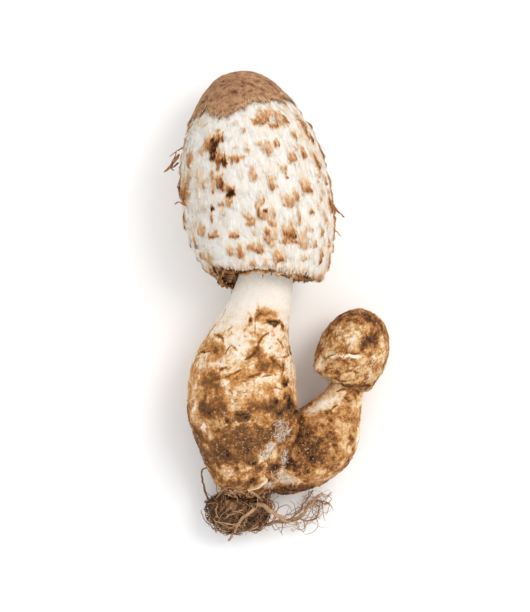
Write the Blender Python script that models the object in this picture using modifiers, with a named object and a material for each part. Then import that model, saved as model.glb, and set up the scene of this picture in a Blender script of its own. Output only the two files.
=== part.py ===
"""Shaggy ink cap with a young one grown from its foot, picked and lying on its side.

Metres, +Z up from the table, +Y along the mushroom towards the top of its cap. The origin is on the
table, under the middle of the whole clump. Each piece is its own closed solid.
"""

import math
import random

import bmesh
import bpy
from mathutils import Matrix, Vector, noise
from mathutils.bvhtree import BVHTree

MM = 0.001
GAP = 0.3 * MM  # clearance kept between neighbouring pieces
CLUMP_SHIFT = Vector((0.18, 0.64, 0)) * MM  # brings the middle of the finished clump over the origin

# The grown cap is a bell lying on its widest part. Profiles are (radius, height above the rim) in mm
CAP_RIM_CENTRE = Vector((-3.2, 10.7, 30.2)) * MM
CAP_DIP = math.radians(5.5)  # the apex points down towards the table
CAP_LEAN = math.radians(8.8)  # and to the left
CAP_RIM_SKEW = 0.17  # the mouth is cut slantwise: lower on the right, by this share of the way across
CAP_RIM_WAVE = 0.8
CAP_SKEW_HEIGHT = 34  # the slant has died out at this height, in mm
CAP_OUTER = [
    (0, 79.6), (7, 78), (12.5, 73.8), (16.6, 68.5), (20.3, 62.5), (23.6, 56), (26, 47.5),
    (27.6, 37), (27.9, 28), (27.2, 18), (25.2, 10), (22.6, 4), (20.2, 0),
]
CAP_INNER = [
    (0, 74), (7, 72.4), (13.4, 66), (18, 59), (21.6, 50), (23.6, 40), (24.2, 29), (23.6, 18),
    (21.8, 9.5), (19.8, 3), (18.9, 0.8),
]
CAP_SIDES = 40

# Brown crown on the apex: a skin with a ragged lower edge. Shares are of the cap's outer profile, apex to rim
CROWN_EDGE = 0.29
CROWN_RAGGED = 0.03
CROWN_TEETH = 0.008
CROWN_LOBES = 2.2  # how fast the ragged edge changes round the crown
CROWN_THICKNESS = 1.0 * MM
CROWN_RINGS = 5

# Shaggy scales
SCALE_THICKNESS = 1.1 * MM
SCALE_SINK = 0.5 * MM  # how deep a scale's root sits in the flesh
SCALE_ROWS = 9
SCALE_ROW_RANGE = (0.4, 0.87)
SCALE_SPACING = 9.5  # mm between neighbours in a row
SCALE_CLEAR = 5.0  # mm that a row's scale keeps from those placed one by one
SCALE_GROWTH = 1.3  # larger than life, so that they read from a step away

# Scales on the side that faces up, one by one, in mm: X and Y on the table, width, length, lift of the tip
FRONT_SCALES = [
    (-4.9, 71.6, 11, 6, 0.9), (-31.0, 67.5, 4, 5, 0.7), (-15.0, 69.4, 4, 4, 0.5), (8.4, 68.4, 4, 6, 0.8),
    (6.2, 65.8, 4, 5, 0.6), (-24.2, 61.6, 6, 9, 1.6), (-20.5, 56.2, 4, 7, 1.4), (-32.0, 56.6, 6, 7, 1.0),
    (-15.9, 57.5, 5, 5, 0.7), (-11.8, 60.3, 4, 5, 0.6), (-3.9, 61.2, 6, 7, 0.8), (0.2, 64.1, 4, 4, 0.6),
    (6.6, 57.5, 5, 5, 0.9), (10.2, 59.4, 4, 5, 0.9), (13.6, 54.8, 4, 7, 1.2), (-8.5, 50.3, 4, 6, 0.7),
    (2.0, 52.0, 5, 5, 0.6), (-2.0, 48.0, 4, 8, 0.7), (-33.6, 46.2, 5, 8, 1.5), (-21.4, 47.6, 5, 7, 1.5),
    (-17.0, 43.6, 5, 4, 1.8), (-19.2, 39.6, 5, 5, 0.8), (10.8, 46.7, 6, 8, 1.0), (3.9, 40.7, 7, 6, 0.9),
    (-9.9, 33.8, 5, 7, 1.1), (-6.0, 37.5, 4, 4, 0.9), (18.4, 40.2, 5, 7, 1.5), (-27.8, 29.8, 5, 6, 1.2),
    (-22.8, 28.3, 6, 5, 1.3), (-16.3, 27.8, 5, 5, 1.0), (3.9, 28.7, 6, 7, 1.1), (-1.9, 28.3, 5, 6, 0.8),
    (9.7, 26.5, 5, 7, 0.8), (14.3, 24.6, 4, 4, 0.9), (-8.1, 23.3, 8, 5, 1.1), (-14.6, 21.0, 5, 6, 1.2),
    (-25.5, 20.2, 8, 7, 1.7), (1.6, 19.2, 7, 6, 1.3), (15.8, 19.0, 4, 6, 1.3), (-4.8, 17.4, 5, 5, 1.3),
    (8.5, 18.0, 6, 6, 1.4), (-19.5, 16.6, 5, 5, 1.3), (-28.0, 39.0, 4, 6, 1.0), (8.1, 35.8, 4, 6, 0.7),
]

# Frayed threads that stand off the cap's sides: points on the table plan with their height, in mm
CAP_THREADS = [
    [(-32.5, 55.0, 27), (-37.2, 57.6, 28), (-39.6, 55.5, 29), (-41.6, 52.6, 29.5), (-43.2, 50.4, 29)],
    [(17.5, 42.0, 30), (21.5, 38.5, 31), (23.4, 36.2, 31), (25.6, 34.4, 30.5)],
]
THREAD_RADIUS = 0.55

# Gills: thin blades hung in a lining under the flesh and standing clear of the stem
GILL_COUNT = 32
GILL_THICKNESS = 0.7 * MM
LINING_THICKNESS = 0.8
LINING_GAP = 0.65
LINING_RANGE = (0.14, 0.93)  # share of the way along the cap's inner profile
LINING_STEPS = 5
GILL_EDGE = [(8.9, 62), (10.3, 34), (12.8, 4)]

# Torn veil: a brown cord along the mouth of the cap
VEIL_RADIUS = 18.7
VEIL_CORD = 0.95
VEIL_DROP = 0.9  # how far it waves down from the rim
VEIL_STATIONS = 44

# Grown stem outside the cap, from its root end: X, Y, Z and radius, in mm
STEM = [
    (-10.9, -73.0, 15.4, 4.6), (-11.2, -71.0, 15.6, 8.0), (-12.0, -67.3, 16.0, 10.8),
    (-13.2, -61.2, 17.0, 13.2), (-13.7, -55.1, 18.0, 15.6), (-13.7, -49.0, 19.1, 18.4),
    (-13.4, -42.9, 20.1, 20.6), (-13.2, -36.9, 20.6, 21.2), (-13.1, -29.3, 20.9, 20.9),
    (-12.2, -23.2, 21.6, 19.9), (-11.2, -17.1, 22.7, 17.8), (-10.0, -11.0, 24.1, 15.2),
    (-7.9, -4.9, 25.6, 13.0), (-6.3, 1.1, 27.2, 11.7), (-4.9, 7.2, 28.6, 10.8),
]
# and inside it: height above the rim and radius
STEM_IN_CAP = [(3, 10.4), (11, 9.9), (22, 9.3), (40, 8.4), (58, 7.6), (67, 6.2), (71.6, 4.0)]
STEM_SIDES = 26
STEM_LUMPS = 0.55 * MM
STEM_GRAIN = 9 * MM
STEM_FLAPS = [
    (-2.6, -2.8, 6, 5, 0.5), (-1.2, -6.0, 4, 4, 0.5), (-10.4, -5.4, 3, 5, 0.3), (-22.4, -11.2, 4, 6, 0.9),
    (-15.9, -16.2, 5, 6, 0.8), (-7.2, -16.4, 5, 6, 0.8), (-18.6, -27.4, 7, 5, 0.6), (-9.4, -26.6, 8, 5, 0.6),
    (0.4, -19.0, 4, 6, 0.6), (-25.0, -22.0, 4, 6, 0.7), (-2.4, -31.5, 5, 6, 0.6), (-13.0, -36.0, 6, 5, 0.5),
    (-24.6, -35.0, 6, 6, 0.6), (-5.8, -43.0, 5, 5, 0.5), (-19.4, -45.0, 6, 5, 0.5), (-10.0, -52.0, 6, 5, 0.5),
]

# Young one: its swollen, bent stem and its closed cap
YOUNG_STEM = [
    (-2.6, -68.6, 13.8, 3.4), (-0.6, -67.2, 13.8, 6.8), (3.2, -63.8, 13.9, 9.8),
    (9.7, -58.6, 14.0, 12.7), (15.4, -52.8, 14.1, 14.5), (19.8, -46.6, 14.6, 13.4),
    (23.2, -40.4, 15.3, 10.2), (25.6, -35.0, 16.0, 7.7), (27.0, -30.6, 16.6, 6.6),
    (28.6, -26.4, 17.1, 6.0), (30.0, -22.6, 17.4, 5.0),
]
YOUNG_SIDES = 22
YOUNG_STEM_GRAIN = 7 * MM
YOUNG_RIM_CENTRE = Vector((24.9, -27.7, 16.2)) * MM
YOUNG_RISE = math.radians(4)
YOUNG_LEAN = math.radians(-22.7)
YOUNG_OUTER = [
    (0, 28.6), (5, 27.5), (9.6, 23.4), (12.6, 17.6), (13.7, 12), (13.2, 5.5), (11.8, 0.6),
    (8.8, -1.4), (4, -2.2), (0, -2.2),
]
YOUNG_LUMPS = 0.45 * MM
YOUNG_CAP_GRAIN = 6 * MM
CRACK = [(17.0, -20.0), (21.5, -18.6), (25.5, -19.2), (29.5, -18.2), (33.5, -18.8), (38.0, -19.2)]  # X and Y
CRACK_RADIUS = 0.8
YOUNG_FLAPS = [
    (15.6, -22.8, 4, 5, 1.2), (20.0, -24.6, 5, 5, 0.8), (25.4, -26.2, 5, 5, 0.8), (31.0, -28.0, 5, 5, 0.8),
    (35.6, -29.0, 4, 4, 0.9), (20.0, -12.0, 5, 5, 0.4), (27.0, -11.0, 5, 6, 0.4), (34.0, -12.6, 6, 6, 0.4),
    (30.0, -4.6, 6, 5, 0.4), (38.6, -8.4, 4, 6, 0.4), (23.0, -17.0, 4, 4, 0.5), (40.0, -16.0, 4, 5, 0.4),
]

# Soil held by the roots
CLOD_CENTRE = Vector((-14.0, -78.2, 11.2)) * MM
CLOD_RADII = Vector((12.0, 8.4, 9.8)) * MM
CLOD_LUMPS = 3.6 * MM
CLOD_GRAIN = 4 * MM

# Roots, all grown from one knot at the foot: points in mm, then the radius at each end
KNOT = (-10.8, -77.0, 14.6)
KNOT_RADII = (3.4, 2.4, 3.4)
ROOT_CLEARANCE = 0.45  # how far the soil stays off a root, in mm
ROOTS = [
    ([KNOT, (-6.6, -75.9, 20), (-3.0, -77.6, 21.5), (-0.8, -79.4, 20), (2.2, -81.6, 16), (4.9, -82.8, 12),
      (8.7, -81.7, 8.5), (13.3, -76.8, 6.5), (15.8, -73.4, 6)], 1.3, 0.6),
    ([(4.9, -82.8, 12), (-0.8, -83.9, 7.5), (-10.3, -86.0, 4.5), (-16.9, -88.5, 3)], 0.8, 0.6),
    ([KNOT, (-13, -81, 17), (-15.6, -86, 12), (-17.4, -89.2, 6.5), (-18.6, -91.2, 3.5)], 0.9, 0.55),
    ([KNOT, (-18, -77, 13), (-25.4, -75.4, 12), (-27.8, -71, 12.5), (-28.6, -66.2, 14),
      (-27.4, -62.9, 15.5)], 0.7, 0.5),
    ([KNOT, (-20, -78.6, 9), (-24, -77.6, 6.5), (-27.8, -76.2, 5)], 1.1, 0.7),
    ([(13.3, -76.8, 6.5), (17, -75.4, 5), (20.3, -77.0, 3.2)], 0.6, 0.5),
    ([(4.9, -82.8, 12), (8.5, -79.5, 9), (11.5, -75.2, 5), (14.2, -71.8, 3.4)], 0.6, 0.5),
    ([(8.7, -81.7, 8.5), (12.5, -83.4, 5.5), (15.8, -81.4, 3.4), (16.6, -78.0, 2.2)], 0.6, 0.5),
    ([(-20, -78.6, 9), (-24.6, -81.7, 6), (-20.6, -86.4, 4), (-14.3, -87.4, 3.4)], 0.6, 0.5),
    ([KNOT, (-14, -78, 20.6), (-19, -80.2, 19.4), (-22.4, -84.2, 12), (-20.6, -86.4, 4)], 0.7, 0.5),
]


def curve_point(points, share):
    """The point at a share of the way, 0 to 1, along a smooth curve through points (Catmull-Rom)."""
    last = len(points) - 1
    place = min(max(share, 0.0), 1.0) * last
    i = min(int(place), last - 1)
    t = place - i
    before, start, end, after = (points[min(max(j, 0), last)] for j in range(i - 1, i + 3))
    return tuple(
        0.5 * (2 * b + (c - a) * t + (2 * a - 5 * b + 4 * c - d) * t**2 + (3 * b - a - 3 * c + d) * t**3)
        for a, b, c, d in zip(before, start, end, after)
    )


def smooth_points(points, steps, first=0.0, last=1.0):
    """Steps + 1 points along that curve, between two shares of it."""
    return [curve_point(points, first + (last - first) * i / steps) for i in range(steps + 1)]


def inset(profile, distance):
    """A profile moved towards the axis, square to its own run, by a distance in mm."""
    moved = []
    for i, (r, h) in enumerate(profile):
        before, after = profile[max(i - 1, 0)], profile[min(i + 1, len(profile) - 1)]
        run = Vector((after[0] - before[0], after[1] - before[1])).normalized()
        moved.append((r + run.y * distance, h - run.x * distance))
    return moved


def lying_frame(centre, dip, lean):
    """Local Z runs along a mushroom's axis, from the rim to the apex."""
    turn = Matrix.Rotation(lean, 4, "Z") @ Matrix.Rotation(-math.pi / 2 - dip, 4, "X")
    return Matrix.Translation(centre) @ turn


CAP_FRAME = lying_frame(CAP_RIM_CENTRE, CAP_DIP, CAP_LEAN)
YOUNG_FRAME = lying_frame(YOUNG_RIM_CENTRE, -YOUNG_RISE, YOUNG_LEAN)


def rim_shift(x, y, z):
    """How far, in mm, a point of the cap moves along its axis where the mouth is slanted and wavy."""
    fade = max(0.0, 1 - z / CAP_SKEW_HEIGHT)
    wave = CAP_RIM_WAVE * noise.noise(Vector((x, y, 0)).normalized() * 2.5 + Vector((0, 0, 3)))
    return -CAP_RIM_SKEW * x * fade**2 + wave * fade**4


def slant(obj):
    """Gives a piece of the cap, in the cap's own frame, the slant of its mouth."""
    for vert in obj.data.vertices:
        vert.co.z += rim_shift(*(vert.co / MM)) * MM


def finish(name, colour, roughness):
    """A plain material for one kind of flesh or soil."""
    material = bpy.data.materials.new(name)
    material.use_nodes = True
    shader = material.node_tree.nodes["Principled BSDF"]
    shader.inputs["Base Color"].default_value = (*colour, 1)
    shader.inputs["Roughness"].default_value = roughness
    shader.inputs["Metallic"].default_value = 0.0
    return material


def new_object(name, data, collection, material=None):
    obj = bpy.data.objects.new(name, data)
    collection.objects.link(obj)
    if material:
        data.materials.append(material)
    return obj


def mesh_object(name, shape, collection, material=None):
    """An object from a finished bmesh, which is freed."""
    bmesh.ops.recalc_face_normals(shape, faces=shape.faces)
    mesh = bpy.data.meshes.new(name)
    shape.to_mesh(mesh)
    shape.free()
    return new_object(name, mesh, collection, material)


def baked(obj):
    """The object with its modifiers, or its curve, turned into a plain mesh and its seams welded."""
    bpy.context.view_layer.update()
    name, collection, place = obj.name, obj.users_collection[0], obj.matrix_world.copy()
    graph = bpy.context.evaluated_depsgraph_get()
    mesh = bpy.data.meshes.new_from_object(obj.evaluated_get(graph))
    shape = bmesh.new()
    shape.from_mesh(mesh)
    bmesh.ops.remove_doubles(shape, verts=shape.verts, dist=0.001 * MM)
    bmesh.ops.recalc_face_normals(shape, faces=shape.faces)
    shape.to_mesh(mesh)
    shape.free()
    bpy.data.objects.remove(obj)
    solid = new_object(name, mesh, collection)
    solid.matrix_world = place
    bpy.context.view_layer.update()
    return solid


def turned(name, profile, sides, collection, material=None):
    """A profile of (radius, height) in mm, outer side first and top to bottom, spun round local Z."""
    mesh = bpy.data.meshes.new(name)
    points = [(r * MM, 0, h * MM) for r, h in profile]
    mesh.from_pydata(points, [(i, i + 1) for i in range(len(points) - 1)], [])
    obj = new_object(name, mesh, collection, material)
    screw = obj.modifiers.new("Spin", "SCREW")
    screw.steps = screw.render_steps = sides
    screw.use_merge_vertices = True
    screw.merge_threshold = 0.01 * MM
    return baked(obj)


def tube(name, stations, sides, collection, material=None, cyclic=False):
    """A round tube through stations of X, Y, Z and radius, all in mm."""
    curve = bpy.data.curves.new(name, "CURVE")
    curve.dimensions = "3D"
    curve.bevel_depth = MM  # so that a point's radius counts in millimetres
    curve.bevel_resolution = sides // 2 - 2
    curve.use_fill_caps = True
    spline = curve.splines.new("POLY")
    spline.points.add(len(stations) - 1)
    spline.use_cyclic_u = cyclic
    for point, (x, y, z, radius) in zip(spline.points, stations):
        point.co = (x * MM, y * MM, z * MM, 1)
        point.radius = radius
    return baked(new_object(name, curve, collection, material))


def roughen(obj, height, grain, seed):
    """Raises and lowers the surface by noise, in lumps about one grain across."""
    moves = []
    for vert in obj.data.vertices:
        spot = obj.matrix_world @ vert.co / grain + Vector((seed, 0, 0))
        moves.append(vert.normal * height * noise.noise(spot))
    for vert, move in zip(obj.data.vertices, moves):
        vert.co += move


def combine(obj, others, operation, solver="MANIFOLD"):
    """Joins the others to the object, or cuts them from it, and removes them."""
    tools = bpy.data.collections.new("tools")
    bpy.context.scene.collection.children.link(tools)
    for other in others:
        other.users_collection[0].objects.unlink(other)
        tools.objects.link(other)
    modifier = obj.modifiers.new(operation, "BOOLEAN")
    modifier.operation = operation
    modifier.operand_type = "COLLECTION"
    modifier.collection = tools
    modifier.solver = solver
    done = baked(obj)
    for other in others:
        bpy.data.objects.remove(other)
    bpy.data.collections.remove(tools)
    return done


def swollen(obj, scratch):
    """A copy grown by the gap, to cut a neighbour with."""
    copy = new_object(obj.name + "_cutter", obj.data.copy(), scratch)
    copy.matrix_world = obj.matrix_world
    grow = copy.modifiers.new("Grow", "DISPLACE")
    grow.mid_level = 0
    grow.strength = GAP + 0.1 * MM
    return baked(copy)


def rested(obj, scratch):
    """Cut flat where soft flesh is pressed on the table."""
    length, depth = 400 * MM, 40 * MM
    place = Matrix.Translation((0, 0, -depth / 2)) @ Matrix.Diagonal((length, length, depth, 1))
    slab = bmesh.new()
    bmesh.ops.create_cube(slab, size=1, matrix=place)
    return combine(obj, [mesh_object("table_cutter", slab, scratch)], "DIFFERENCE")


def surface_of(obj):
    """The object's faces in world space, to find where a scale sits."""
    points = [obj.matrix_world @ v.co for v in obj.data.vertices]
    return BVHTree.FromPolygons(points, [p.vertices[:] for p in obj.data.polygons])


def flake(place, normal, rimwards, width, length, lift, scratch):
    """One five-cornered scale, its root sunk in the surface and its tip lifted."""
    shape = bmesh.new()
    bmesh.ops.create_cone(shape, cap_ends=True, segments=5, radius1=1, radius2=0.8, depth=1)
    for vert in shape.verts:
        across, along, up = vert.co
        rise = (along + 1) / 2
        vert.co = (
            across * width * MM / 2,
            along * length * MM / 2,
            up * SCALE_THICKNESS + lift * MM * rise - SCALE_SINK * (1 - rise),
        )
    scale = mesh_object("scale", shape, scratch)
    side = rimwards.cross(normal).normalized()
    facing = Matrix((side, normal.cross(side), normal)).transposed().to_4x4()
    scale.matrix_world = Matrix.Translation(place) @ facing
    return scale


def scales_seen(surface, rimwards, rows, scratch, growth=1.0):
    """The scales of a list, set down on the upper side of a surface."""
    scales = []
    for x, y, width, length, lift in rows:
        place, normal, _, _ = surface.ray_cast(Vector((x, y, 100)) * MM, Vector((0, 0, -1)))
        scales.append(flake(place, normal, rimwards, width * growth, length * growth, lift * growth, scratch))
    return scales


def scales_round(surface, rimwards, scratch):
    """Staggered rows of scales all round the cap, clear of those placed one by one."""
    rng = random.Random(7)
    scales = []
    for row in range(SCALE_ROWS):
        first, last = SCALE_ROW_RANGE
        radius, height = curve_point(CAP_OUTER, first + (last - first) * row / (SCALE_ROWS - 1))
        count = round(2 * math.pi * radius / SCALE_SPACING)
        for k in range(count):
            angle = 2 * math.pi * (k + 0.5 * (row % 2) + rng.uniform(-0.2, 0.2)) / count
            up = height + rng.uniform(-1.5, 1.5)
            width, length, lift = rng.uniform(5, 8), rng.uniform(7, 10), rng.uniform(0.9, 1.9)
            target = CAP_FRAME @ (Vector((radius * math.cos(angle), radius * math.sin(angle), up)) * MM)
            place, normal, _, _ = surface.find_nearest(target)
            x, y, z = place / MM
            crowded = z > CAP_RIM_CENTRE.z / MM and any(
                math.hypot(x - other[0], y - other[1]) < SCALE_CLEAR for other in FRONT_SCALES
            )
            if not crowded:
                scales.append(flake(place, normal, rimwards, width, length, lift, scratch))
    return scales


def build_cap(parts, scratch, material):
    profile = smooth_points(CAP_OUTER, 13) + smooth_points(CAP_INNER, 8)[::-1]
    bell = turned("cap", profile, CAP_SIDES, parts, material)
    slant(bell)
    bell.matrix_world = CAP_FRAME
    bpy.context.view_layer.update()
    surface = surface_of(bell)
    rimwards = CAP_FRAME.to_3x3() @ Vector((0, 0, -1))
    pieces = scales_seen(surface, rimwards, FRONT_SCALES, scratch, SCALE_GROWTH)
    pieces += scales_round(surface, rimwards, scratch)
    for thread in CAP_THREADS:
        stations = [(*p, THREAD_RADIUS) for p in smooth_points(thread, 7)]
        pieces.append(tube("thread", stations, 4, scratch))
    return rested(combine(bell, pieces, "UNION"), scratch)


def build_crown(parts, material):
    """A skin over the apex: each ring follows the bell, and the lowest ones are ragged."""
    shape = bmesh.new()
    apex = shape.verts.new((0, 0, CAP_OUTER[0][1] * MM))
    rows = []
    for ring in range(1, CROWN_RINGS + 1):
        row = []
        for k in range(CAP_SIDES):
            angle = 2 * math.pi * k / CAP_SIDES
            around = Vector((math.cos(angle), math.sin(angle), 0))
            ragged = CROWN_RAGGED * noise.noise(around * CROWN_LOBES) + CROWN_TEETH * (-1) ** k
            radius, height = curve_point(CAP_OUTER, (CROWN_EDGE + ragged) * ring / CROWN_RINGS)
            row.append(shape.verts.new((around * radius + Vector((0, 0, height))) * MM))
        rows.append(row)
    for k in range(CAP_SIDES):
        after = (k + 1) % CAP_SIDES
        shape.faces.new((apex, rows[0][k], rows[0][after]))
        for upper, lower in zip(rows, rows[1:]):
            shape.faces.new((upper[k], lower[k], lower[after], upper[after]))
    shape.normal_update()
    offsets = [vert.normal * GAP * (1 if vert.normal.z > 0 else -1) for vert in shape.verts]
    for vert, offset in zip(shape.verts, offsets):
        vert.co += offset
    crown = mesh_object("cap_crown", shape, parts, material)
    crown.matrix_world = CAP_FRAME
    skin = crown.modifiers.new("Skin", "SOLIDIFY")
    skin.thickness = CROWN_THICKNESS
    skin.offset = 1
    return baked(crown)


def gill_blade(scratch):
    """One blade in the plane of local X and Z, from the lining to its free edge."""
    lining = inset(smooth_points(CAP_INNER, LINING_STEPS, *LINING_RANGE), LINING_GAP + LINING_THICKNESS / 2)
    outline = lining[:-1] + [(lining[-1][0], GILL_EDGE[-1][1])] + GILL_EDGE[::-1]
    curve = bpy.data.curves.new("gill", "CURVE")
    curve.dimensions = "2D"
    curve.fill_mode = "BOTH"
    curve.extrude = GILL_THICKNESS / 2
    spline = curve.splines.new("POLY")
    spline.points.add(len(outline) - 1)
    spline.use_cyclic_u = True
    for point, (r, h) in zip(spline.points, outline):
        point.co = (r * MM, h * MM, 0, 1)
    return baked(new_object("gill", curve, scratch))


def build_gills(parts, scratch, material):
    run = smooth_points(CAP_INNER, LINING_STEPS, *LINING_RANGE)
    profile = inset(run, LINING_GAP) + inset(run, LINING_GAP + LINING_THICKNESS)[::-1]
    lining = turned("gills", profile + profile[:1], GILL_COUNT, parts, material)
    lining.matrix_world = CAP_FRAME
    slant(lining)
    blade = gill_blade(scratch)
    stand = Matrix.Rotation(math.pi / 2, 4, "X")
    blades = []
    for k in range(GILL_COUNT):
        copy = new_object("gill_copy", blade.data.copy(), scratch)
        copy.data.transform(Matrix.Rotation(2 * math.pi * (k + 0.5) / GILL_COUNT, 4, "Z") @ stand)
        slant(copy)
        copy.matrix_world = CAP_FRAME
        blades.append(copy)
    bpy.data.objects.remove(blade)
    return combine(lining, blades, "UNION")


def build_veil(parts, material):
    """A wavy cord just below the rim, thick and thin by turns."""
    stations = []
    for k in range(VEIL_STATIONS):
        angle = 2 * math.pi * k / VEIL_STATIONS
        around = Vector((math.cos(angle), math.sin(angle), 0))
        wave, fray = noise.noise(around * 2.5 + Vector((0, 0, 7))), noise.noise(around * 6)
        cord = VEIL_CORD * (1 + 0.3 * fray)
        drop = GAP / MM + cord + VEIL_DROP * (0.1 + abs(wave))
        point = around * (VEIL_RADIUS + 0.8 * wave)
        place = CAP_FRAME @ ((point + Vector((0, 0, rim_shift(*point) - drop))) * MM)
        stations.append((*(place / MM), cord))
    return tube("veil_edge", stations, 6, parts, material, cyclic=True)


def build_stem(parts, material):
    """The swollen stem and its thin run up through the gills to the apex."""
    inside = [(*(CAP_FRAME @ Vector((0, 0, h * MM)) / MM), r) for h, r in STEM_IN_CAP]
    stations = smooth_points(STEM + inside, 2 * len(STEM) + 2)
    stem = tube("stem", stations, STEM_SIDES, parts, material)
    roughen(stem, STEM_LUMPS, STEM_GRAIN, 3)
    return stem


def build_young_stem(parts, material):
    stem = tube("young_stem", smooth_points(YOUNG_STEM, 17), YOUNG_SIDES, parts, material)
    roughen(stem, STEM_LUMPS, YOUNG_STEM_GRAIN, 11)
    return stem


def build_young_cap(parts, scratch, stem, material):
    """A closed egg on its stem, with a crack across it and low flaps."""
    cap = turned("young_cap", smooth_points(YOUNG_OUTER, 12), YOUNG_SIDES, parts, material)
    cap.matrix_world = YOUNG_FRAME
    bpy.context.view_layer.update()
    roughen(cap, YOUNG_LUMPS, YOUNG_CAP_GRAIN, 5)
    surface = surface_of(cap)
    rimwards = YOUNG_FRAME.to_3x3() @ Vector((0, 0, -1))
    cap = combine(cap, scales_seen(surface, rimwards, YOUNG_FLAPS, scratch), "UNION")
    crack = []
    for x, y in smooth_points(CRACK, 9):
        place = surface.ray_cast(Vector((x, y, 100)) * MM, Vector((0, 0, -1)))[0]
        crack.append((x, y, place.z / MM + 0.2, CRACK_RADIUS))
    return combine(cap, [tube("crack", crack, 6, scratch), swollen(stem, scratch)], "DIFFERENCE")


def ball(name, centre, radii, collection, material=None, detail=3):
    """A ball of even triangles, stretched to three radii."""
    shape = bmesh.new()
    bmesh.ops.create_icosphere(shape, subdivisions=detail, radius=1, matrix=Matrix.Diagonal((*radii, 1)))
    obj = mesh_object(name, shape, collection, material)
    obj.location = centre
    bpy.context.view_layer.update()
    return obj


def build_roots(name, grow, parts, scratch, material=None):
    """Tubes from one knot, each thinning towards its tip, all made thicker by grow in mm."""
    radii = Vector(KNOT_RADII) + Vector((grow, grow, grow))
    knot = ball(name, Vector(KNOT) * MM, radii * MM, parts, material, 2)
    strands = []
    for points, thick, thin in ROOTS:
        steps = 2 * len(points)
        route = smooth_points(points, steps)
        stations = [(*p, thick + (thin - thick) * i / steps + grow) for i, p in enumerate(route)]
        strands.append(tube("strand", stations, 6 if thick > 1 else 4, scratch))
    return combine(knot, strands, "UNION")


def build_clod(parts, scratch, stems, material):
    """Lumpy soil round the foot and the roots, with a gap to each."""
    clod = ball("soil_clod", CLOD_CENTRE, CLOD_RADII, parts, material)
    roughen(clod, CLOD_LUMPS, CLOD_GRAIN, 2)
    channels = build_roots("root_cutter", ROOT_CLEARANCE, scratch, scratch)
    return combine(clod, [swollen(stem, scratch) for stem in stems] + [channels], "DIFFERENCE")


def main():
    for obj in list(bpy.data.objects):
        bpy.data.objects.remove(obj)
    parts = bpy.data.collections.new("shaggy_ink_cap")
    scratch = bpy.data.collections.new("cutters")
    for collection in (parts, scratch):
        bpy.context.scene.collection.children.link(collection)
    build_cap(parts, scratch, finish("white_shag", (0.83, 0.75, 0.66), 0.9))
    build_crown(parts, finish("crown_skin", (0.39, 0.2, 0.095), 0.85))
    build_gills(parts, scratch, finish("gill_flesh", (0.29, 0.17, 0.1), 0.8))
    build_veil(parts, finish("torn_veil", (0.35, 0.17, 0.07), 0.85))
    stem = build_stem(parts, finish("stem_flesh", (0.6, 0.38, 0.2), 0.8))
    young_stem = build_young_stem(parts, finish("young_flesh", (0.53, 0.28, 0.11), 0.8))
    build_young_cap(parts, scratch, young_stem, finish("young_skin", (0.5, 0.25, 0.1), 0.85))
    build_roots("roots", 0, parts, scratch, finish("root", (0.17, 0.085, 0.045), 0.9))
    build_clod(parts, scratch, [stem, young_stem], finish("soil", (0.09, 0.045, 0.022), 1.0))
    young_stem = combine(young_stem, [swollen(stem, scratch)], "DIFFERENCE")
    rested(young_stem, scratch)
    rimwards = Vector((0, -1, 0))
    stem = combine(stem, scales_seen(surface_of(stem), rimwards, STEM_FLAPS, scratch), "UNION")
    rested(stem, scratch)
    bpy.data.collections.remove(scratch)
    for obj in parts.objects:
        obj.location += CLUMP_SHIFT
        obj.data.shade_smooth()


main()
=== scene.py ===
import math
import random

import bpy
import numpy as np
from mathutils import Matrix, Vector, noise
from mathutils.bvhtree import BVHTree


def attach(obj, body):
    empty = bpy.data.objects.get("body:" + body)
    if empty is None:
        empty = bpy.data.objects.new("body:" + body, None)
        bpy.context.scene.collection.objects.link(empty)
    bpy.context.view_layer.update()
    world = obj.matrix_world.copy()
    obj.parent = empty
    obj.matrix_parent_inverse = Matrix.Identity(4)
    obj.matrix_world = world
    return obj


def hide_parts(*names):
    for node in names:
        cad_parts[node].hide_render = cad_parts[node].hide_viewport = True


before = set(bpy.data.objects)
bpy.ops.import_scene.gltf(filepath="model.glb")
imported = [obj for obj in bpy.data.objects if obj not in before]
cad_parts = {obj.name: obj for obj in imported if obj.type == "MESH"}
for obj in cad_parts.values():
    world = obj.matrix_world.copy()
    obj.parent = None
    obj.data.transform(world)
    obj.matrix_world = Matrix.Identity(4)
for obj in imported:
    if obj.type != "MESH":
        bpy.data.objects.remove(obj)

# Shaggy ink cap picked with a young one grown from its foot, lying on a pale table.
# Points are in millimetres, in the frame's own directions, until a mesh is made of them.

mm = 0.001
fullTurn = 2 * math.pi
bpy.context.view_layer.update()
bpy.context.scene.view_settings.view_transform = "Standard"

# The picture: seen from straight above with a long lens
picture = {
    "centre": (265, 306),     # the middle pixel
    "height": 612,            # pixels
    "mmPerPixel": 0.38,       # at the height below
    "sharpAt": 28,            # mm above the table
    "over": (-4.38, 1.02),    # the point that the camera hangs above
    "eye": 900,               # mm above the table
}


def say(stage):
    print("shaggy ink cap:", stage)


# Numbers and shapes

def linear(hexCode):
    # an sRGB hex colour as linear light
    parts = [int(hexCode[i:i + 2], 16) / 255 for i in (1, 3, 5)]
    return tuple(p / 12.92 if p <= 0.04045 else ((p + 0.055) / 1.055) ** 2.4 for p in parts) + (1.0,)


def easeStep(low, high, value):
    t = np.clip((value - low) / (high - low), 0, 1)
    return t * t * (3 - 2 * t)


def lumps(points, size, octaves=1, seed=0.0, stretch=(1, 1, 1), fall=1.0):
    # smooth noise from about -1 to 1, its lumps one size across; a low fall keeps the small ones strong
    spots = (points / (np.array(stretch) * size) + (seed, seed * 0.37, -seed)).tolist()
    if octaves == 1:
        return np.array([noise.noise(p) for p in spots]) * 1.4
    return np.array([noise.fractal(p, fall, 2.0, octaves) for p in spots])


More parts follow.
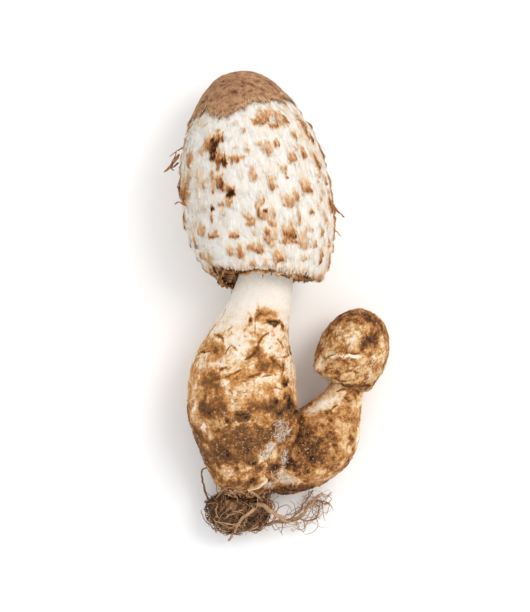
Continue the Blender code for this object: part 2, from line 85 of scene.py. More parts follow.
def cells(points, size, seed=0.0):
    # 0 on the borders of uneven cells, rising to about 1 inside them, and a number for each cell
    spots = (points / size + (seed, seed * 0.37, -seed)).tolist()
    border, number = np.empty(len(spots)), np.empty(len(spots))
    for i, p in enumerate(spots):
        near, places = noise.voronoi(p)
        border[i] = near[1] - near[0]
        number[i] = (places[0][0] * 7.3 + places[0][1] * 13.7 + places[0][2] * 3.1) % 1
    return np.clip(border * 2, 0, 1), number


def smoothCurve(points, count):
    # points along a Catmull-Rom curve
    ends = [points[0], *points, points[-1]]
    found = []
    for place in np.linspace(0, len(points) - 1, count):
        i = min(int(place), len(points) - 2)
        t = place - i
        a, b, c, d = (np.array(p, float) for p in ends[i:i + 4])
        found.append(0.5 * (2 * b + (c - a) * t + (2 * a - 5 * b + 4 * c - d) * t**2 + (3 * b - a - 3 * c + d) * t**3))
    return np.array(found)


def lineOfSight(px, py):
    # from the camera through a pixel of the photograph
    x = picture["over"][0] + (px - picture["centre"][0]) * picture["mmPerPixel"]
    y = picture["over"][1] + (picture["centre"][1] - py) * picture["mmPerPixel"]
    eye = Vector((*picture["over"], picture["eye"]))
    return eye, (Vector((x, y, picture["sharpAt"])) - eye).normalized()


def seenOn(surface, px, py):
    # where the line of sight meets a surface, or the nearest place on it
    eye, ray = lineOfSight(px, py)
    place, normal, _, _ = surface.ray_cast(eye, ray)
    if place is None:
        aim = eye + ray * ((eye.z - picture["sharpAt"]) / -ray.z)
        place, normal, _, _ = surface.find_nearest(aim)
    return place, normal


def surfaceOf(points, faces):
    return BVHTree.FromPolygons(points.tolist(), [tuple(f) for f in faces])


def ringFaces(rows, sides, closed=False):
    # quads between rings of points that follow one another
    a = np.arange(rows if closed else rows - 1)[:, None]
    b = np.arange(sides)[None, :]
    nextRow, nextSide = (a + 1) % rows, (b + 1) % sides
    corners = [a * sides + b, a * sides + nextSide, nextRow * sides + nextSide, nextRow * sides + b]
    return np.stack(corners, -1).reshape(-1, 4)


def poleFaces(ringStart, sides, pole, flip):
    b = np.arange(sides)
    ring, after = ringStart + b, ringStart + (b + 1) % sides
    fan = [np.full(sides, pole), after, ring] if flip else [np.full(sides, pole), ring, after]
    return np.stack(fan, -1)


def volumeOf(points, quads, tris):
    sides = [(quads[:, 0], quads[:, 1], quads[:, 2]), (quads[:, 0], quads[:, 2], quads[:, 3])]
    if len(tris):
        sides.append((tris[:, 0], tris[:, 1], tris[:, 2]))
    return sum(np.einsum("ij,ij->", points[a], np.cross(points[b], points[c])) for a, b, c in sides)


noTris = np.zeros((0, 3), int)


def makePiece(name, points, quads, tris, finish, slotName, marks=None, nodes=(), smooth=True):
    # a mesh piece from points in mm, facing out; marks are numbers for each point that its finish reads,
    # and "facing" among them is the way that strands are shaded, softly, like what they lie on
    marks = dict(marks or {})
    facing = marks.pop("facing", None)
    if volumeOf(points, quads, tris) < 0:
        quads, tris = quads[:, ::-1], tris[:, ::-1]
    mesh = bpy.data.meshes.new(name)
    mesh.vertices.add(len(points))
    mesh.vertices.foreach_set("co", (points * mm).astype(np.float32).ravel())
    corners = np.concatenate([quads.ravel(), tris.ravel()]).astype(np.int32)
    starts = np.concatenate([np.arange(len(quads)) * 4, len(quads) * 4 + np.arange(len(tris)) * 3])
    mesh.loops.add(len(corners))
    mesh.loops.foreach_set("vertex_index", corners)
    mesh.polygons.add(len(starts))
    mesh.polygons.foreach_set("loop_start", starts.astype(np.int32))
    mesh.update(calc_edges=True)
    for mark, values in marks.items():
        mesh.attributes.new(mark, "FLOAT", "POINT").data.foreach_set("value", values.astype(np.float32))
    if smooth:
        mesh.shade_smooth()
    if facing is not None:
        mesh.normals_split_custom_set_from_vertices(facing.tolist())
    mesh.materials.append(finish)
    piece = bpy.data.objects.new(name, mesh)
    bpy.context.scene.collection.objects.link(piece)
    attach(piece, "root")
    if nodes:
        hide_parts(*nodes)
    return piece


def skinOf(node, voxel, softening):
    # an even, fine copy of a CAD solid with its facets smoothed away: points in mm, quads and normals
    copy = bpy.data.objects.new("skin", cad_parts[node].data.copy())
    bpy.context.scene.collection.objects.link(copy)
    even = copy.modifiers.new("even", "REMESH")
    even.mode = "VOXEL"
    even.voxel_size = voxel * mm
    soft = copy.modifiers.new("soft", "SMOOTH")
    soft.iterations = softening
    fine = copy.modifiers.new("fine", "SUBSURF")
    fine.levels = fine.render_levels = 1
    bpy.context.view_layer.update()
    graph = bpy.context.evaluated_depsgraph_get()
    mesh = bpy.data.meshes.new_from_object(copy.evaluated_get(graph))
    count = len(mesh.vertices)
    points, normals = np.empty(count * 3), np.empty(count * 3)
    mesh.vertices.foreach_get("co", points)
    mesh.vertex_normals.foreach_get("vector", normals)
    quads = np.empty(len(mesh.polygons) * 4, int)
    mesh.loops.foreach_get("vertex_index", quads)
    bpy.data.objects.remove(copy)
    bpy.data.meshes.remove(mesh)
    return points.reshape(-1, 3) / mm, quads.reshape(-1, 4), normals.reshape(-1, 3)


def strandArrays(paths, ups, widths, marks, flatness=0.25):
    # three-sided pointed strands, one along each path: paths and ups are (strands, stations, 3)
    run = np.gradient(paths, axis=1)
    across = np.cross(run, ups)
    across /= np.linalg.norm(across, axis=2, keepdims=True) + 1e-9
    half = widths[:, :, None] / 2
    corners = np.stack([paths + across * half, paths - across * half, paths + ups * half * 2 * flatness], 2)
    facing = np.stack([ups + across * 0.55, ups - across * 0.55, ups], 2).reshape(-1, 3)
    count, stations = paths.shape[:2]
    points = corners.reshape(-1, 3)
    first = (np.arange(count) * stations * 3)[:, None, None]
    step = (np.arange(stations - 1) * 3)[None, :, None]
    side = np.arange(3)[None, None, :]
    after = (side + 1) % 3
    base = first + step
    quads = np.stack([base + side, base + after, base + 3 + after, base + 3 + side], -1).reshape(-1, 4)
    start = np.arange(count) * stations * 3
    end = start + (stations - 1) * 3
    tris = np.concatenate([np.stack([start, start + 2, start + 1], -1), np.stack([end, end + 1, end + 2], -1)])
    spread = {mark: np.repeat(values.reshape(-1), 3) for mark, values in marks.items()}
    spread["facing"] = facing / np.linalg.norm(facing, axis=1, keepdims=True)
    return points, quads, tris, spread


def tubeArrays(routes, sides, tone):
    # round tubes with pointed ends, one along each route of (points, radii); tone has a number for each route
    allPoints, allQuads, allTris, allTones, start = [], [], [], [], 0
    ring = np.linspace(0, fullTurn, sides, endpoint=False)
    for (route, radii), value in zip(routes, tone):
        run = np.gradient(route, axis=0)
        run /= np.linalg.norm(run, axis=1, keepdims=True) + 1e-9
        guide = np.array((0.31, 0.17, 0.93))
        across = np.cross(run, guide)
        across /= np.linalg.norm(across, axis=1, keepdims=True) + 1e-9
        other = np.cross(run, across)
        circle = across[:, None] * np.cos(ring)[None, :, None] + other[:, None] * np.sin(ring)[None, :, None]
        points = (route[:, None] + circle * radii[:, None, None]).reshape(-1, 3)
        rows = len(route)
        poles = np.array([route[0] - run[0] * radii[0], route[-1] + run[-1] * radii[-1]])
        allPoints += [points, poles]
        allQuads.append(ringFaces(rows, sides) + start)
        lastRing = start + (rows - 1) * sides
        allTris.append(poleFaces(start, sides, start + rows * sides, True))
        allTris.append(poleFaces(lastRing, sides, start + rows * sides + 1, False))
        allTones.append(np.full(rows * sides + 2, value))
        start += rows * sides + 2
    return np.concatenate(allPoints), np.concatenate(allQuads), np.concatenate(allTris), np.concatenate(allTones)


# Finishes

def addNode(tree, kind, inputs=None, ramp=None, **settings):
    # one shader node with its settings, its input values or links, and its colour stops
    node = tree.nodes.new(kind)
    for name, value in settings.items():
        setattr(node, name, value)
    for socket, value in (inputs or {}).items():
        if isinstance(value, bpy.types.NodeSocket):
            tree.links.new(value, node.inputs[socket])
        else:
            node.inputs[socket].default_value = value
    if ramp:
        stops = node.color_ramp.elements
        while len(stops) < len(ramp):
            stops.new(0.5)
        for stop, (place, hexCode) in zip(stops, ramp):
            stop.position = place
            stop.color = linear(hexCode)
    return node


def stainedFinish(name, look):
    # Fungus flesh or soil: the mark "stain" runs the colours from clean to dirty, and two noises break its edges.
    # Grain sizes are in mm; the finest is about a pixel of the photograph
    finish = bpy.data.materials.new(name)
    finish.use_nodes = True
    tree = finish.node_tree
    shader = tree.nodes["Principled BSDF"]
    shader.inputs["Roughness"].default_value = look["roughness"]
    shader.inputs["IOR"].default_value = look["ior"]
    shader.inputs["Specular IOR Level"].default_value = look["shine"]
    if look.get("glow"):
        shader.inputs["Subsurface Weight"].default_value = look["glow"]
        shader.inputs["Subsurface Radius"].default_value = (1.0, 0.62, 0.4)
        shader.inputs["Subsurface Scale"].default_value = look["depth"] * mm
    place = addNode(tree, "ShaderNodeTexCoord").outputs["Object"]
    stretched = addNode(tree, "ShaderNodeMapping", {"Vector": place, "Scale": look.get("stretch", (1, 1, 1))})
    mottle = addNode(tree, "ShaderNodeTexNoise", {
        "Vector": stretched.outputs["Vector"], "Scale": 1 / (look["mottle"] * mm), "Detail": 7.0, "Roughness": 0.66,
    })
    grain = addNode(tree, "ShaderNodeTexNoise", {
        "Vector": stretched.outputs["Vector"], "Scale": 1 / (look["grain"] * mm), "Detail": 3.0, "Roughness": 0.6,
    })
    stain = addNode(tree, "ShaderNodeAttribute", attribute_name="stain")
    shifted = addNode(tree, "ShaderNodeMath", {0: mottle.outputs["Fac"], 1: 0.5}, operation="SUBTRACT")
    coarse = addNode(tree, "ShaderNodeMath", {
        0: shifted.outputs[0], 1: look["mottling"], 2: stain.outputs["Fac"],
    }, operation="MULTIPLY_ADD")
    shiftedGrain = addNode(tree, "ShaderNodeMath", {0: grain.outputs["Fac"], 1: 0.5}, operation="SUBTRACT")
    both = addNode(tree, "ShaderNodeMath", {
        0: shiftedGrain.outputs[0], 1: look["graining"], 2: coarse.outputs[0],
    }, operation="MULTIPLY_ADD")
    colours = addNode(tree, "ShaderNodeValToRGB", {"Fac": both.outputs[0]}, ramp=look["colours"])
    tree.links.new(colours.outputs["Color"], shader.inputs["Base Color"])
    bump = addNode(tree, "ShaderNodeBump", {
        "Height": grain.outputs["Fac"], "Strength": look["bump"], "Distance": look["grain"] * 0.35 * mm,
    })
    tree.links.new(bump.outputs["Normal"], shader.inputs["Normal"])
    return finish


# Shag: dry, cottony threads of the cap. Matt white, warm where it turns tan and brown towards a scale's tip.
# The flesh under them glows a little; light would be lost in threads that did
def shagFinish(name, glow):
    return stainedFinish(name, {
        "roughness": 0.92, "ior": 1.4, "shine": 0.2, "glow": glow, "depth": 1.0, "stretch": (1, 0.5, 1),
        "mottle": 1.6, "mottling": 0.35, "grain": 0.6, "graining": 0.16, "bump": 0.3,
        "colours": [(0.0, "#ece7e0"), (0.16, "#e9dfd2"), (0.27, "#e5cdaf"), (0.38, "#dbb087"), (0.52, "#c58a59"),
                    (0.66, "#a4693e"), (0.8, "#77482a"), (0.9, "#4f2f1a"), (1.0, "#2f1b0f")],
    })


# Crown: thin leathery skin, felted and dull, with its sunk wrinkles darkened as painted shade
def crownFinish():
    return stainedFinish("feltedBrownSkin", {
        "roughness": 0.85, "ior": 1.4, "shine": 0.3,
        "mottle": 2.6, "mottling": 0.7, "grain": 0.6, "graining": 0.4, "bump": 0.6,
        "colours": [(0.0, "#dcc09e"), (0.25, "#c39a74"), (0.5, "#a97f5c"), (0.7, "#8b6347"), (0.86, "#684632"),
                    (1.0, "#452c1e")],
    })


# Gills: brittle plates, tan to brown with ripening spores, pale at the edge and darkened between them with painted
# shade
def gillFinish():
    return stainedFinish("ripeningGillsAndPaintedShade", {
        "roughness": 0.8, "ior": 1.4, "shine": 0.3, "stretch": (1, 0.3, 1),
        "mottle": 1.6, "mottling": 0.3, "grain": 0.5, "graining": 0.2, "bump": 0.4,
        "colours": [(0.0, "#d8b68a"), (0.3, "#b98a5a"), (0.55, "#8c6240"), (0.8, "#543520"), (1.0, "#33200f")],
    })


# Veil: torn and rolled fibres, amber where thin and nearly black where wet
def veilFinish():
    return stainedFinish("tornVeilFibres", {
        "roughness": 0.75, "ior": 1.4, "shine": 0.35,
        "mottle": 2.0, "mottling": 0.5, "grain": 0.5, "graining": 0.25, "bump": 0.4,
        "colours": [(0.0, "#dfbd90"), (0.3, "#c08c52"), (0.55, "#9a6532"), (0.8, "#633c1d"), (1.0, "#3b2412")],
    })


# Stem: firm flesh, ivory at the neck, bruised ochre lower down and caked with earth at the foot
def stemFinish():
    return stainedFinish("bruisedStemFlesh", {
        "roughness": 0.82, "ior": 1.4, "shine": 0.25, "glow": 0.06, "depth": 0.8,
        "mottle": 1.9, "mottling": 0.54, "grain": 0.6, "graining": 0.32, "bump": 0.5,
        "colours": [(0.0, "#eee6dd"), (0.16, "#e8dbc8"), (0.27, "#e3cbad"), (0.34, "#d2a777"), (0.44, "#bc854c"),
                    (0.55, "#9f6733"), (0.6, "#80552f"), (0.74, "#6b4627"), (0.86, "#52341f"), (0.94, "#362114"),
                    (1.0, "#1f120b")],
    })


# Young one: the same flesh, darker and more even, with a skin that is still whole
def youngFinish():
    return stainedFinish("bruisedYoungSkin", {
        "roughness": 0.8, "ior": 1.4, "shine": 0.28, "glow": 0.06, "depth": 0.8,
        "mottle": 1.8, "mottling": 0.58, "grain": 0.6, "graining": 0.32, "bump": 0.5,
        "colours": [(0.0, "#f0e7d9"), (0.14, "#e8d4b8"), (0.28, "#dab78a"), (0.4, "#c59561"), (0.52, "#aa743f"),
                    (0.62, "#8d5b30"), (0.7, "#704626"), (0.84, "#55341e"), (0.94, "#3a2315"), (1.0, "#24150d")],
    })


# Roots: dry woody threads, dull tan to brown
def rootFinish():
    return stainedFinish("dryRootBark", {
        "roughness": 0.85, "ior": 1.45, "shine": 0.3,
        "mottle": 1.8, "mottling": 0.35, "grain": 0.5, "graining": 0.25, "bump": 0.5,
        "colours": [(0.0, "#cfa983"), (0.3, "#a98160"), (0.55, "#835e42"), (0.8, "#5a3f2b"), (1.0, "#36241a")],
    })


# Soil: loam crumbs, matt, the clod's hollows painted nearly black as shade
def soilFinish():
    return stainedFinish("dampLoam", {
        "roughness": 0.95, "ior": 1.45, "shine": 0.2,
        "mottle": 1.6, "mottling": 0.6, "grain": 0.5, "graining": 0.35, "bump": 0.7,
        "colours": [(0.0, "#bd9672"), (0.3, "#906a4b"), (0.6, "#6a4a33"), (0.85, "#442f20"), (1.0, "#271911")],
    })


# Mould: a film of white threads where the two stems meet
def mouldFinish():
    return stainedFinish("whiteMouldThreads", {
        "roughness": 0.9, "ior": 1.4, "shine": 0.2,
        "mottle": 1.8, "mottling": 0.4, "grain": 0.6, "graining": 0.2, "bump": 0.4,
        "colours": [(0.0, "#f6ece3"), (0.35, "#f0ddca"), (0.6, "#dbbb98"), (0.8, "#b58b61"), (1.0, "#7d5a3c")],
    })


# The bell, as a turned profile: radius and height above the rim
bell = {
    "rimCentre": (-3.02, 11.34, 30.2),
    "dip": 5.5,               # degrees that the apex points down
    "lean": 8.8,              # and to the left
    "outer": [(0, 79.6), (7, 78), (12.5, 73.8), (16.6, 68.5), (20.3, 62.5), (23.6, 56), (26, 47.5), (27.6, 37),
              (27.9, 28), (27.2, 18), (25.2, 10), (22.6, 4), (20.2, 0)],
    "inner": [(0, 74), (7, 72.4), (13.4, 66), (18, 59), (21.6, 50), (23.6, 40), (24.2, 29), (23.6, 18),
              (21.8, 9.5), (19.8, 3), (18.9, 0.8)],
    "skew": 0.17,             # how much lower the mouth is on the right
    "skewHeight": 34,
    "wave": 0.8,
    # where the hem is torn shorter: the angle round the bell, how far that reaches, mm
    "torn": [(3.55, 0.6, 5.2), (4.75, 0.5, 2.4), (1.3, 0.8, 2.2), (5.5, 0.3, 0.5)],
    "sides": 560,
    "rows": 270,
    "innerRows": 40,
}


def profileTable(points):
    curve = smoothCurve(points, 700)
    run = np.gradient(curve, axis=0)
    run /= np.linalg.norm(run, axis=1, keepdims=True)
    steps = np.linalg.norm(np.diff(curve, axis=0), axis=1)
    along = np.concatenate([[0], np.cumsum(steps)])
    return {"along": along, "r": curve[:, 0], "h": curve[:, 1], "nr": -run[:, 1], "nh": run[:, 0], "run": run[-1]}


outerTable = profileTable(bell["outer"])
innerTable = profileTable(bell["inner"])
bellLength = outerTable["along"][-1]
bellTurn = Matrix.Rotation(math.radians(bell["lean"]), 3, "Z") @ \
    Matrix.Rotation(-math.pi / 2 - math.radians(bell["dip"]), 3, "X")
bellAxes = np.array(bellTurn)
waveAngles = np.linspace(0, fullTurn, 361)
waveHeights = np.array([
    bell["wave"] * noise.noise(Vector((math.cos(a) * 2.5, math.sin(a) * 2.5, 3))) for a in waveAngles
])


def rimShift(x, angle, h):
    fade = np.clip(1 - h / bell["skewHeight"], 0, 1)
    wave = np.interp(np.mod(angle, fullTurn), waveAngles, waveHeights)
    return -bell["skew"] * x * fade**2 + wave * fade**4


def turnFrom(angle, middle):
    return np.mod(angle - middle + math.pi, fullTurn) - math.pi


def hemRise(angle, torn=bell["torn"]):
    # how much shorter than the full bell the hem is at each angle
    total = sum(rise * np.exp(-(turnFrom(angle, middle) / reach) ** 2) for middle, reach, rise in torn)
    return total + 0.35 * np.sin(angle * 23 + 2 * np.sin(angle * 5)) + 0.25 * np.sin(angle * 61 + 1)


def bellPoints(angle, along, lift=0.0, table=outerTable):
    # places on the bell: the angle round its axis, the way from the apex and the height above the skin
    r, h = np.interp(along, table["along"], table["r"]), np.interp(along, table["along"], table["h"])
    over = np.maximum(along - table["along"][-1], 0)
    r = r + table["run"][0] * over + np.interp(along, table["along"], table["nr"]) * lift
    h = h + table["run"][1] * over + np.interp(along, table["along"], table["nh"]) * lift
    x, y = r * np.cos(angle), r * np.sin(angle)
    local = np.stack([x, y, h + rimShift(x, angle, h)], -1)
    return local @ bellAxes.T + np.array(bell["rimCentre"])


def bellPlace(point):
    # the angle and the way from the apex of a point near the bell
    x, y, z = np.linalg.inv(bellAxes) @ (np.array(point) - np.array(bell["rimCentre"]))
    angle = math.atan2(y, x)
    h = z
    for _ in range(4):
        h = z - float(rimShift(x, angle, h))
    return angle, float(np.interp(-h, -outerTable["h"], outerTable["along"]))


# Tufts seen in the photograph: pixel of the middle, width and length in mm, tone, how pointed the tip is
seenTufts = [
    (192, 125, 3.0, 4.5, 0.6, 0.5), (207, 124, 1.6, 2.0, 0.32, 0.3), (236, 123, 2.2, 3.0, 0.36, 0.3),
    (244, 129, 1.6, 3.0, 0.4, 0.4), (257, 121, 5.5, 4.2, 0.72, 0.2), (267, 113, 6.5, 6.0, 0.55, 0.2),
    (279, 117, 5.5, 7.0, 0.6, 0.3), (273, 124, 4.6, 3.4, 0.6, 0.4), (262, 118, 4.5, 4.5, 0.7, 0.2),
    (299, 121, 3.4, 8.0, 0.62, 0.4), (303, 130, 1.8, 7.0, 0.72, 0.5), (293, 134, 2.4, 5.0, 0.52, 0.6),
    (310, 137, 1.4, 6.0, 0.82, 0.4), (309, 124, 1.2, 5.0, 0.8, 0.4),
    (209, 141, 4.2, 7.0, 0.66, 0.3), (216, 142, 3.6, 8.0, 1.15, 0.5), (214, 153, 2.6, 6.5, 1.15, 0.6),
    (224, 160, 2.8, 6.0, 1.05, 0.5), (218, 166, 1.6, 4.0, 0.8, 0.6), (223, 136, 0.8, 5.5, 0.86, 0.3),
    (191, 157, 5.0, 7.5, 0.64, 0.7), (234, 158, 3.0, 5.0, 0.7, 0.3), (241, 156, 3.4, 2.6, 0.5, 0.2),
    (247, 147, 1.8, 4.6, 0.52, 0.4), (236, 147, 2.6, 1.4, 0.4, 0.2), (267, 148, 4.8, 7.5, 0.6, 0.8),
    (258, 143, 2.0, 2.6, 0.42, 0.3), (276, 143, 2.2, 4.4, 0.62, 0.3), (292, 157, 4.0, 4.2, 0.72, 0.3),
    (302, 152, 2.6, 5.0, 0.74, 0.3), (321, 150, 2.0, 5.4, 0.76, 0.3), (313, 158, 2.0, 10.5, 0.62, 0.4),
    (327, 162, 2.4, 4.0, 0.64, 0.3), (319, 163, 2.8, 3.0, 0.4, 0.2), (283, 168, 3.6, 5.4, 0.5, 0.8),
    (287, 177, 0.9, 1.2, 0.85, 0.3), (253, 174, 2.6, 6.2, 0.58, 0.2), (186, 186, 6.4, 11.0, 0.72, 0.2),
    (190, 176, 2.2, 5.0, 0.5, 0.3), (198, 172, 1.6, 6.0, 0.36, 0.3), (205, 180, 1.4, 7.0, 0.36, 0.3),
    (199, 190, 1.4, 7.0, 0.34, 0.3), (213, 174, 1.8, 6.5, 0.6, 0.5), (221, 182, 3.0, 6.5, 0.86, 0.3),
    (214, 188, 1.8, 5.0, 0.6, 0.5), (228, 184, 1.4, 4.4, 0.66, 0.3), (231, 192, 3.8, 3.4, 1.35, 0.2),
    (229, 201, 3.4, 5.0, 0.64, 0.6), (221, 202, 2.2, 3.6, 0.5, 0.3), (271, 181, 3.0, 7.6, 0.64, 0.4),
    (305, 184, 5.2, 6.8, 0.62, 0.1), (307, 190, 2.4, 2.6, 0.8, 0.2), (296, 194, 2.4, 5.6, 0.56, 0.4),
    (288, 199, 5.8, 6.0, 0.6, 0.4), (326, 171, 2.2, 2.2, 0.66, 0.3), (325, 182, 3.0, 2.2, 0.68, 0.3),
    (317, 181, 1.2, 1.4, 0.7, 0.3), (328, 201, 3.6, 8.0, 0.8, 0.5), (335, 208, 1.6, 8.0, 0.74, 0.6),
    (204, 206, 3.2, 5.0, 0.3, 0.2), (213, 208, 1.7, 1.8, 1.1, 0.2), (212, 217, 1.0, 3.8, 0.6, 0.4),
    (251, 220, 4.0, 5.0, 0.66, 0.3), (258, 210, 1.2, 6.0, 0.78, 0.3), (261, 198, 3.0, 5.0, 0.4, 0.4),
    (265, 210, 1.7, 1.3, 1.2, 0.2), (272, 211, 1.8, 5.6, 0.5, 0.4), (298, 212, 1.2, 6.6, 0.56, 0.5),
    (311, 211, 2.0, 2.2, 0.7, 0.2), (202, 230, 3.8, 5.0, 0.64, 0.3), (214, 233, 4.6, 3.8, 0.64, 0.2),
    (234, 234, 3.8, 3.4, 0.76, 0.2), (270, 232, 5.0, 7.0, 0.5, 0.4), (266, 230, 1.6, 3.0, 0.74, 0.3),
    (288, 229, 5.4, 6.0, 0.7, 0.1), (289, 239, 5.2, 3.0, 0.72, 0.1), (303, 237, 4.4, 7.6, 0.48, 0.1),
    (314, 243, 2.4, 3.0, 0.72, 0.2), (328, 239, 1.8, 4.8, 0.62, 0.5), (336, 233, 1.4, 5.0, 0.7, 0.4),
    (208, 255, 6.8, 5.6, 0.5, 0.4), (201, 254, 2.4, 4.4, 0.6, 0.5), (230, 250, 3.6, 4.8, 0.56, 0.5),
    (240, 250, 2.4, 6.0, 0.72, 0.4), (252, 247, 3.6, 3.6, 0.72, 0.2), (260, 246, 3.0, 5.4, 0.64, 0.5),
    (279, 255, 5.6, 5.4, 0.56, 0.4), (280, 258, 2.6, 2.2, 0.84, 0.2), (272, 243, 3.0, 3.0, 0.44, 0.3),
    (254, 262, 2.0, 3.4, 0.6, 0.4), (265, 261, 2.2, 3.2, 0.46, 0.3), (229, 267, 2.6, 1.8, 0.34, 0.2),
    (247, 267, 1.8, 1.6, 0.4, 0.2), (320, 253, 1.8, 5.6, 0.7, 0.4), (329, 257, 2.8, 5.0, 0.52, 0.4),
    (305, 256, 5.0, 2.4, 0.36, 0.3), (320, 197, 1.6, 4.0, 0.4, 0.3), (242, 174, 1.4, 4.0, 0.22, 0.3),
    (334, 246, 2.0, 4.6, 0.5, 0.5), (333, 222, 1.4, 5.0, 0.66, 0.5), (330, 190, 1.4, 4.4, 0.6, 0.4),
    (182, 166, 1.4, 6.0, 0.5, 0.4), (187, 140, 1.4, 6.0, 0.55, 0.4), (186, 214, 1.4, 6.5, 0.62, 0.5),
    (195, 240, 1.6, 7.0, 0.66, 0.4), (318, 143, 1.2, 5.0, 0.6, 0.4), (323, 176, 3.0, 4.0, 0.5, 0.3),
    (318, 170, 2.4, 5.0, 0.45, 0.4), (322, 190, 2.6, 4.0, 0.48, 0.3), (318, 205, 2.4, 4.0, 0.42, 0.3),
    (324, 215, 2.4, 5.0, 0.46, 0.4), (321, 228, 2.8, 5.0, 0.5, 0.4), (310, 226, 2.4, 4.0, 0.36, 0.4),
    (262, 214, 5.0, 4.4, 0.56, 0.3), (272, 219, 3.4, 4.4, 0.56, 0.3), (256, 229, 3.0, 3.0, 0.32, 0.3),
    (246, 212, 3.0, 4.4, 0.34, 0.4), (295, 147, 3.0, 3.4, 0.36, 0.4), (203, 148, 2.4, 4.0, 0.4, 0.4),
    (212, 147, 3.4, 6.0, 0.84, 0.3), (219, 159, 2.2, 5.0, 0.86, 0.4), (216, 175, 3.2, 4.0, 0.4, 0.4), (223, 211, 2.6, 4.0, 0.36, 0.4), (296, 220, 3.0, 3.6, 0.34, 0.3),
]

tuftRule = {
    "rows": 11,               # rows of tufts round the side that the photograph hides
    "spacing": 7.4,           # mm between neighbours
    "whiteSpacing": 5.6,      # mm between the white shingles under all of them
    "broader": 1.22,          # the seen tufts with their faint borders, against what was measured
    "paler": 0.9,
}


def hiddenTufts(spacing, tones, skipSeen, rng):
    # staggered rows all round the bell, without the places that the photograph shows when asked
    found = []
    along = 24.0
    while along < bellLength - 3:
        radius = np.interp(along, outerTable["along"], outerTable["r"])
        count = round(fullTurn * radius / spacing)
        for k in range(count):
            angle = fullTurn * (k + rng.uniform(-0.3, 0.3)) / count + along
            place = along + rng.uniform(-2, 2)
            facing = bellPoints(np.array([angle]), np.array([place]), 1.0) - bellPoints(np.array([angle]),
                                                                                       np.array([place]), 0.0)
            if skipSeen and facing[0, 2] > 0.12:
                continue
            found.append({
                "angle": angle, "along": place, "width": rng.uniform(2.6, 6), "length": rng.uniform(4, 8),
                "tone": rng.uniform(*tones), "point": rng.uniform(0.1, 0.7), "rise": rng.uniform(0.5, 1.3),
            })
        along += spacing * 0.85
    return found


def gatherTufts(surface, rng):
    tufts = hiddenTufts(tuftRule["whiteSpacing"], (0.0, 0.1), False, rng)
    for tuft in tufts:
        tuft["rise"] *= 0.4
    tufts += hiddenTufts(tuftRule["spacing"], (0.4, 0.85), True, rng)
    for px, py, width, length, tone, point in seenTufts:
        angle, along = bellPlace(seenOn(surface, px, py)[0])
        tufts.append({
            "angle": angle, "along": along, "width": width * tuftRule["broader"], "length": length * 1.08,
            "tone": tone * (tuftRule["paler"] if tone < 0.78 else 1.0), "point": point, "rise": 0.35 + 0.12 * length,
        })
    return tufts


def tuftFields(tufts, rng):
    # two maps over the bell: how brown it is, and how far it stands up, stepped like shingles at each tip
    angles = np.arange(bell["sides"]) / bell["sides"] * fullTurn
    alongs = np.linspace(0, bellLength, bell["rows"])
    radii = np.interp(alongs, outerTable["along"], outerTable["r"])
    angleGrid, alongGrid = np.meshgrid(angles, alongs)
    shape = angleGrid.shape
    local = (bellPoints(angleGrid, alongGrid).reshape(-1, 3)) @ np.linalg.inv(bellAxes).T
    sideways = lumps(local, 1.7, 3, 1.0, (1, 1, 1.6), 0.6).reshape(shape) * 0.55
    downwards = lumps(local, 2.0, 3, 6.0, (1, 1, 1.3), 0.6).reshape(shape) * 0.26
    speckle = lumps(local, 1.1, 3, 9.0, (1, 1, 1.4), 0.5).reshape(shape)
    threads = lumps(local, 0.6, 2, 4.0, (1, 1, 7)).reshape(shape)
    brown, height = np.zeros(shape), np.zeros(shape)
    knots = np.linspace(-2.2, 2.2, 31)
    for tuft in tufts:
        reach = tuft["length"] * 0.95
        rows = np.nonzero(np.abs(alongs - tuft["along"]) < reach)[0]
        turn = turnFrom(angles, tuft["angle"])
        near = np.nonzero(np.abs(turn) * np.interp(tuft["along"], alongs, radii) < tuft["width"] * 1.1)[0]
        if len(near) == 0 or len(rows) == 0:
            continue
        block = np.ix_(rows, near)
        t = (alongs[rows] - tuft["along"])[:, None] / tuft["length"] + 0.5 + downwards[block]
        q = turn[near][None, :] * radii[rows][:, None] / (tuft["width"] / 2) + sideways[block]
        streak = np.interp(q, knots, np.array([rng.uniform(-1, 1) for _ in knots]))
        broad = 0.8 + 0.25 * t - tuft["point"] * 0.5 * np.clip(t, 0, 1) ** 2
        side = 1 - easeStep(0.7, 1.1, np.abs(q) / broad)
        tip = 1 - tuft["point"] * 0.45 * np.abs(q) + 0.08 * streak
        within = side * (1 - easeStep(tip - 0.06, tip + 0.03, t))
        fadeIn = easeStep(-0.2, 0.55, t - 0.3 * streak - 0.1 * threads[block])
        darkEdge = easeStep(0.6, 0.97, t) * 0.3 * (0.4 + 0.6 * streak)
        patch = (tuft["tone"] * (0.8 + 0.16 * streak + 0.36 * speckle[block] + 0.12 * threads[block]) + darkEdge
                 * (tuft["tone"] > 0.2)) * within * fadeIn
        halo = 0.42 * tuft["tone"] * np.exp(-((np.abs(q) / 1.25) ** 2 + (np.abs(t - 0.55) / 0.75) ** 2) * 1.6)
        brown[block] = np.maximum(brown[block], np.maximum(patch, halo * (0.8 + 0.5 * speckle[block])))
        lift = tuft["rise"] * within * easeStep(-0.2, 1.0, t)
        height[block] = np.maximum(height[block], lift)
    return brown, height


def readMap(grid, angle, along):
    # the value of a map over the bell at each place
    column = np.mod(np.round(np.mod(angle, fullTurn) / fullTurn * bell["sides"]).astype(int), bell["sides"])
    place = np.clip(along / bellLength * (bell["rows"] - 1), 0, bell["rows"] - 1.001)
    row = place.astype(int)
    part = place - row
    return grid[row, column] * (1 - part) + grid[row + 1, column] * part


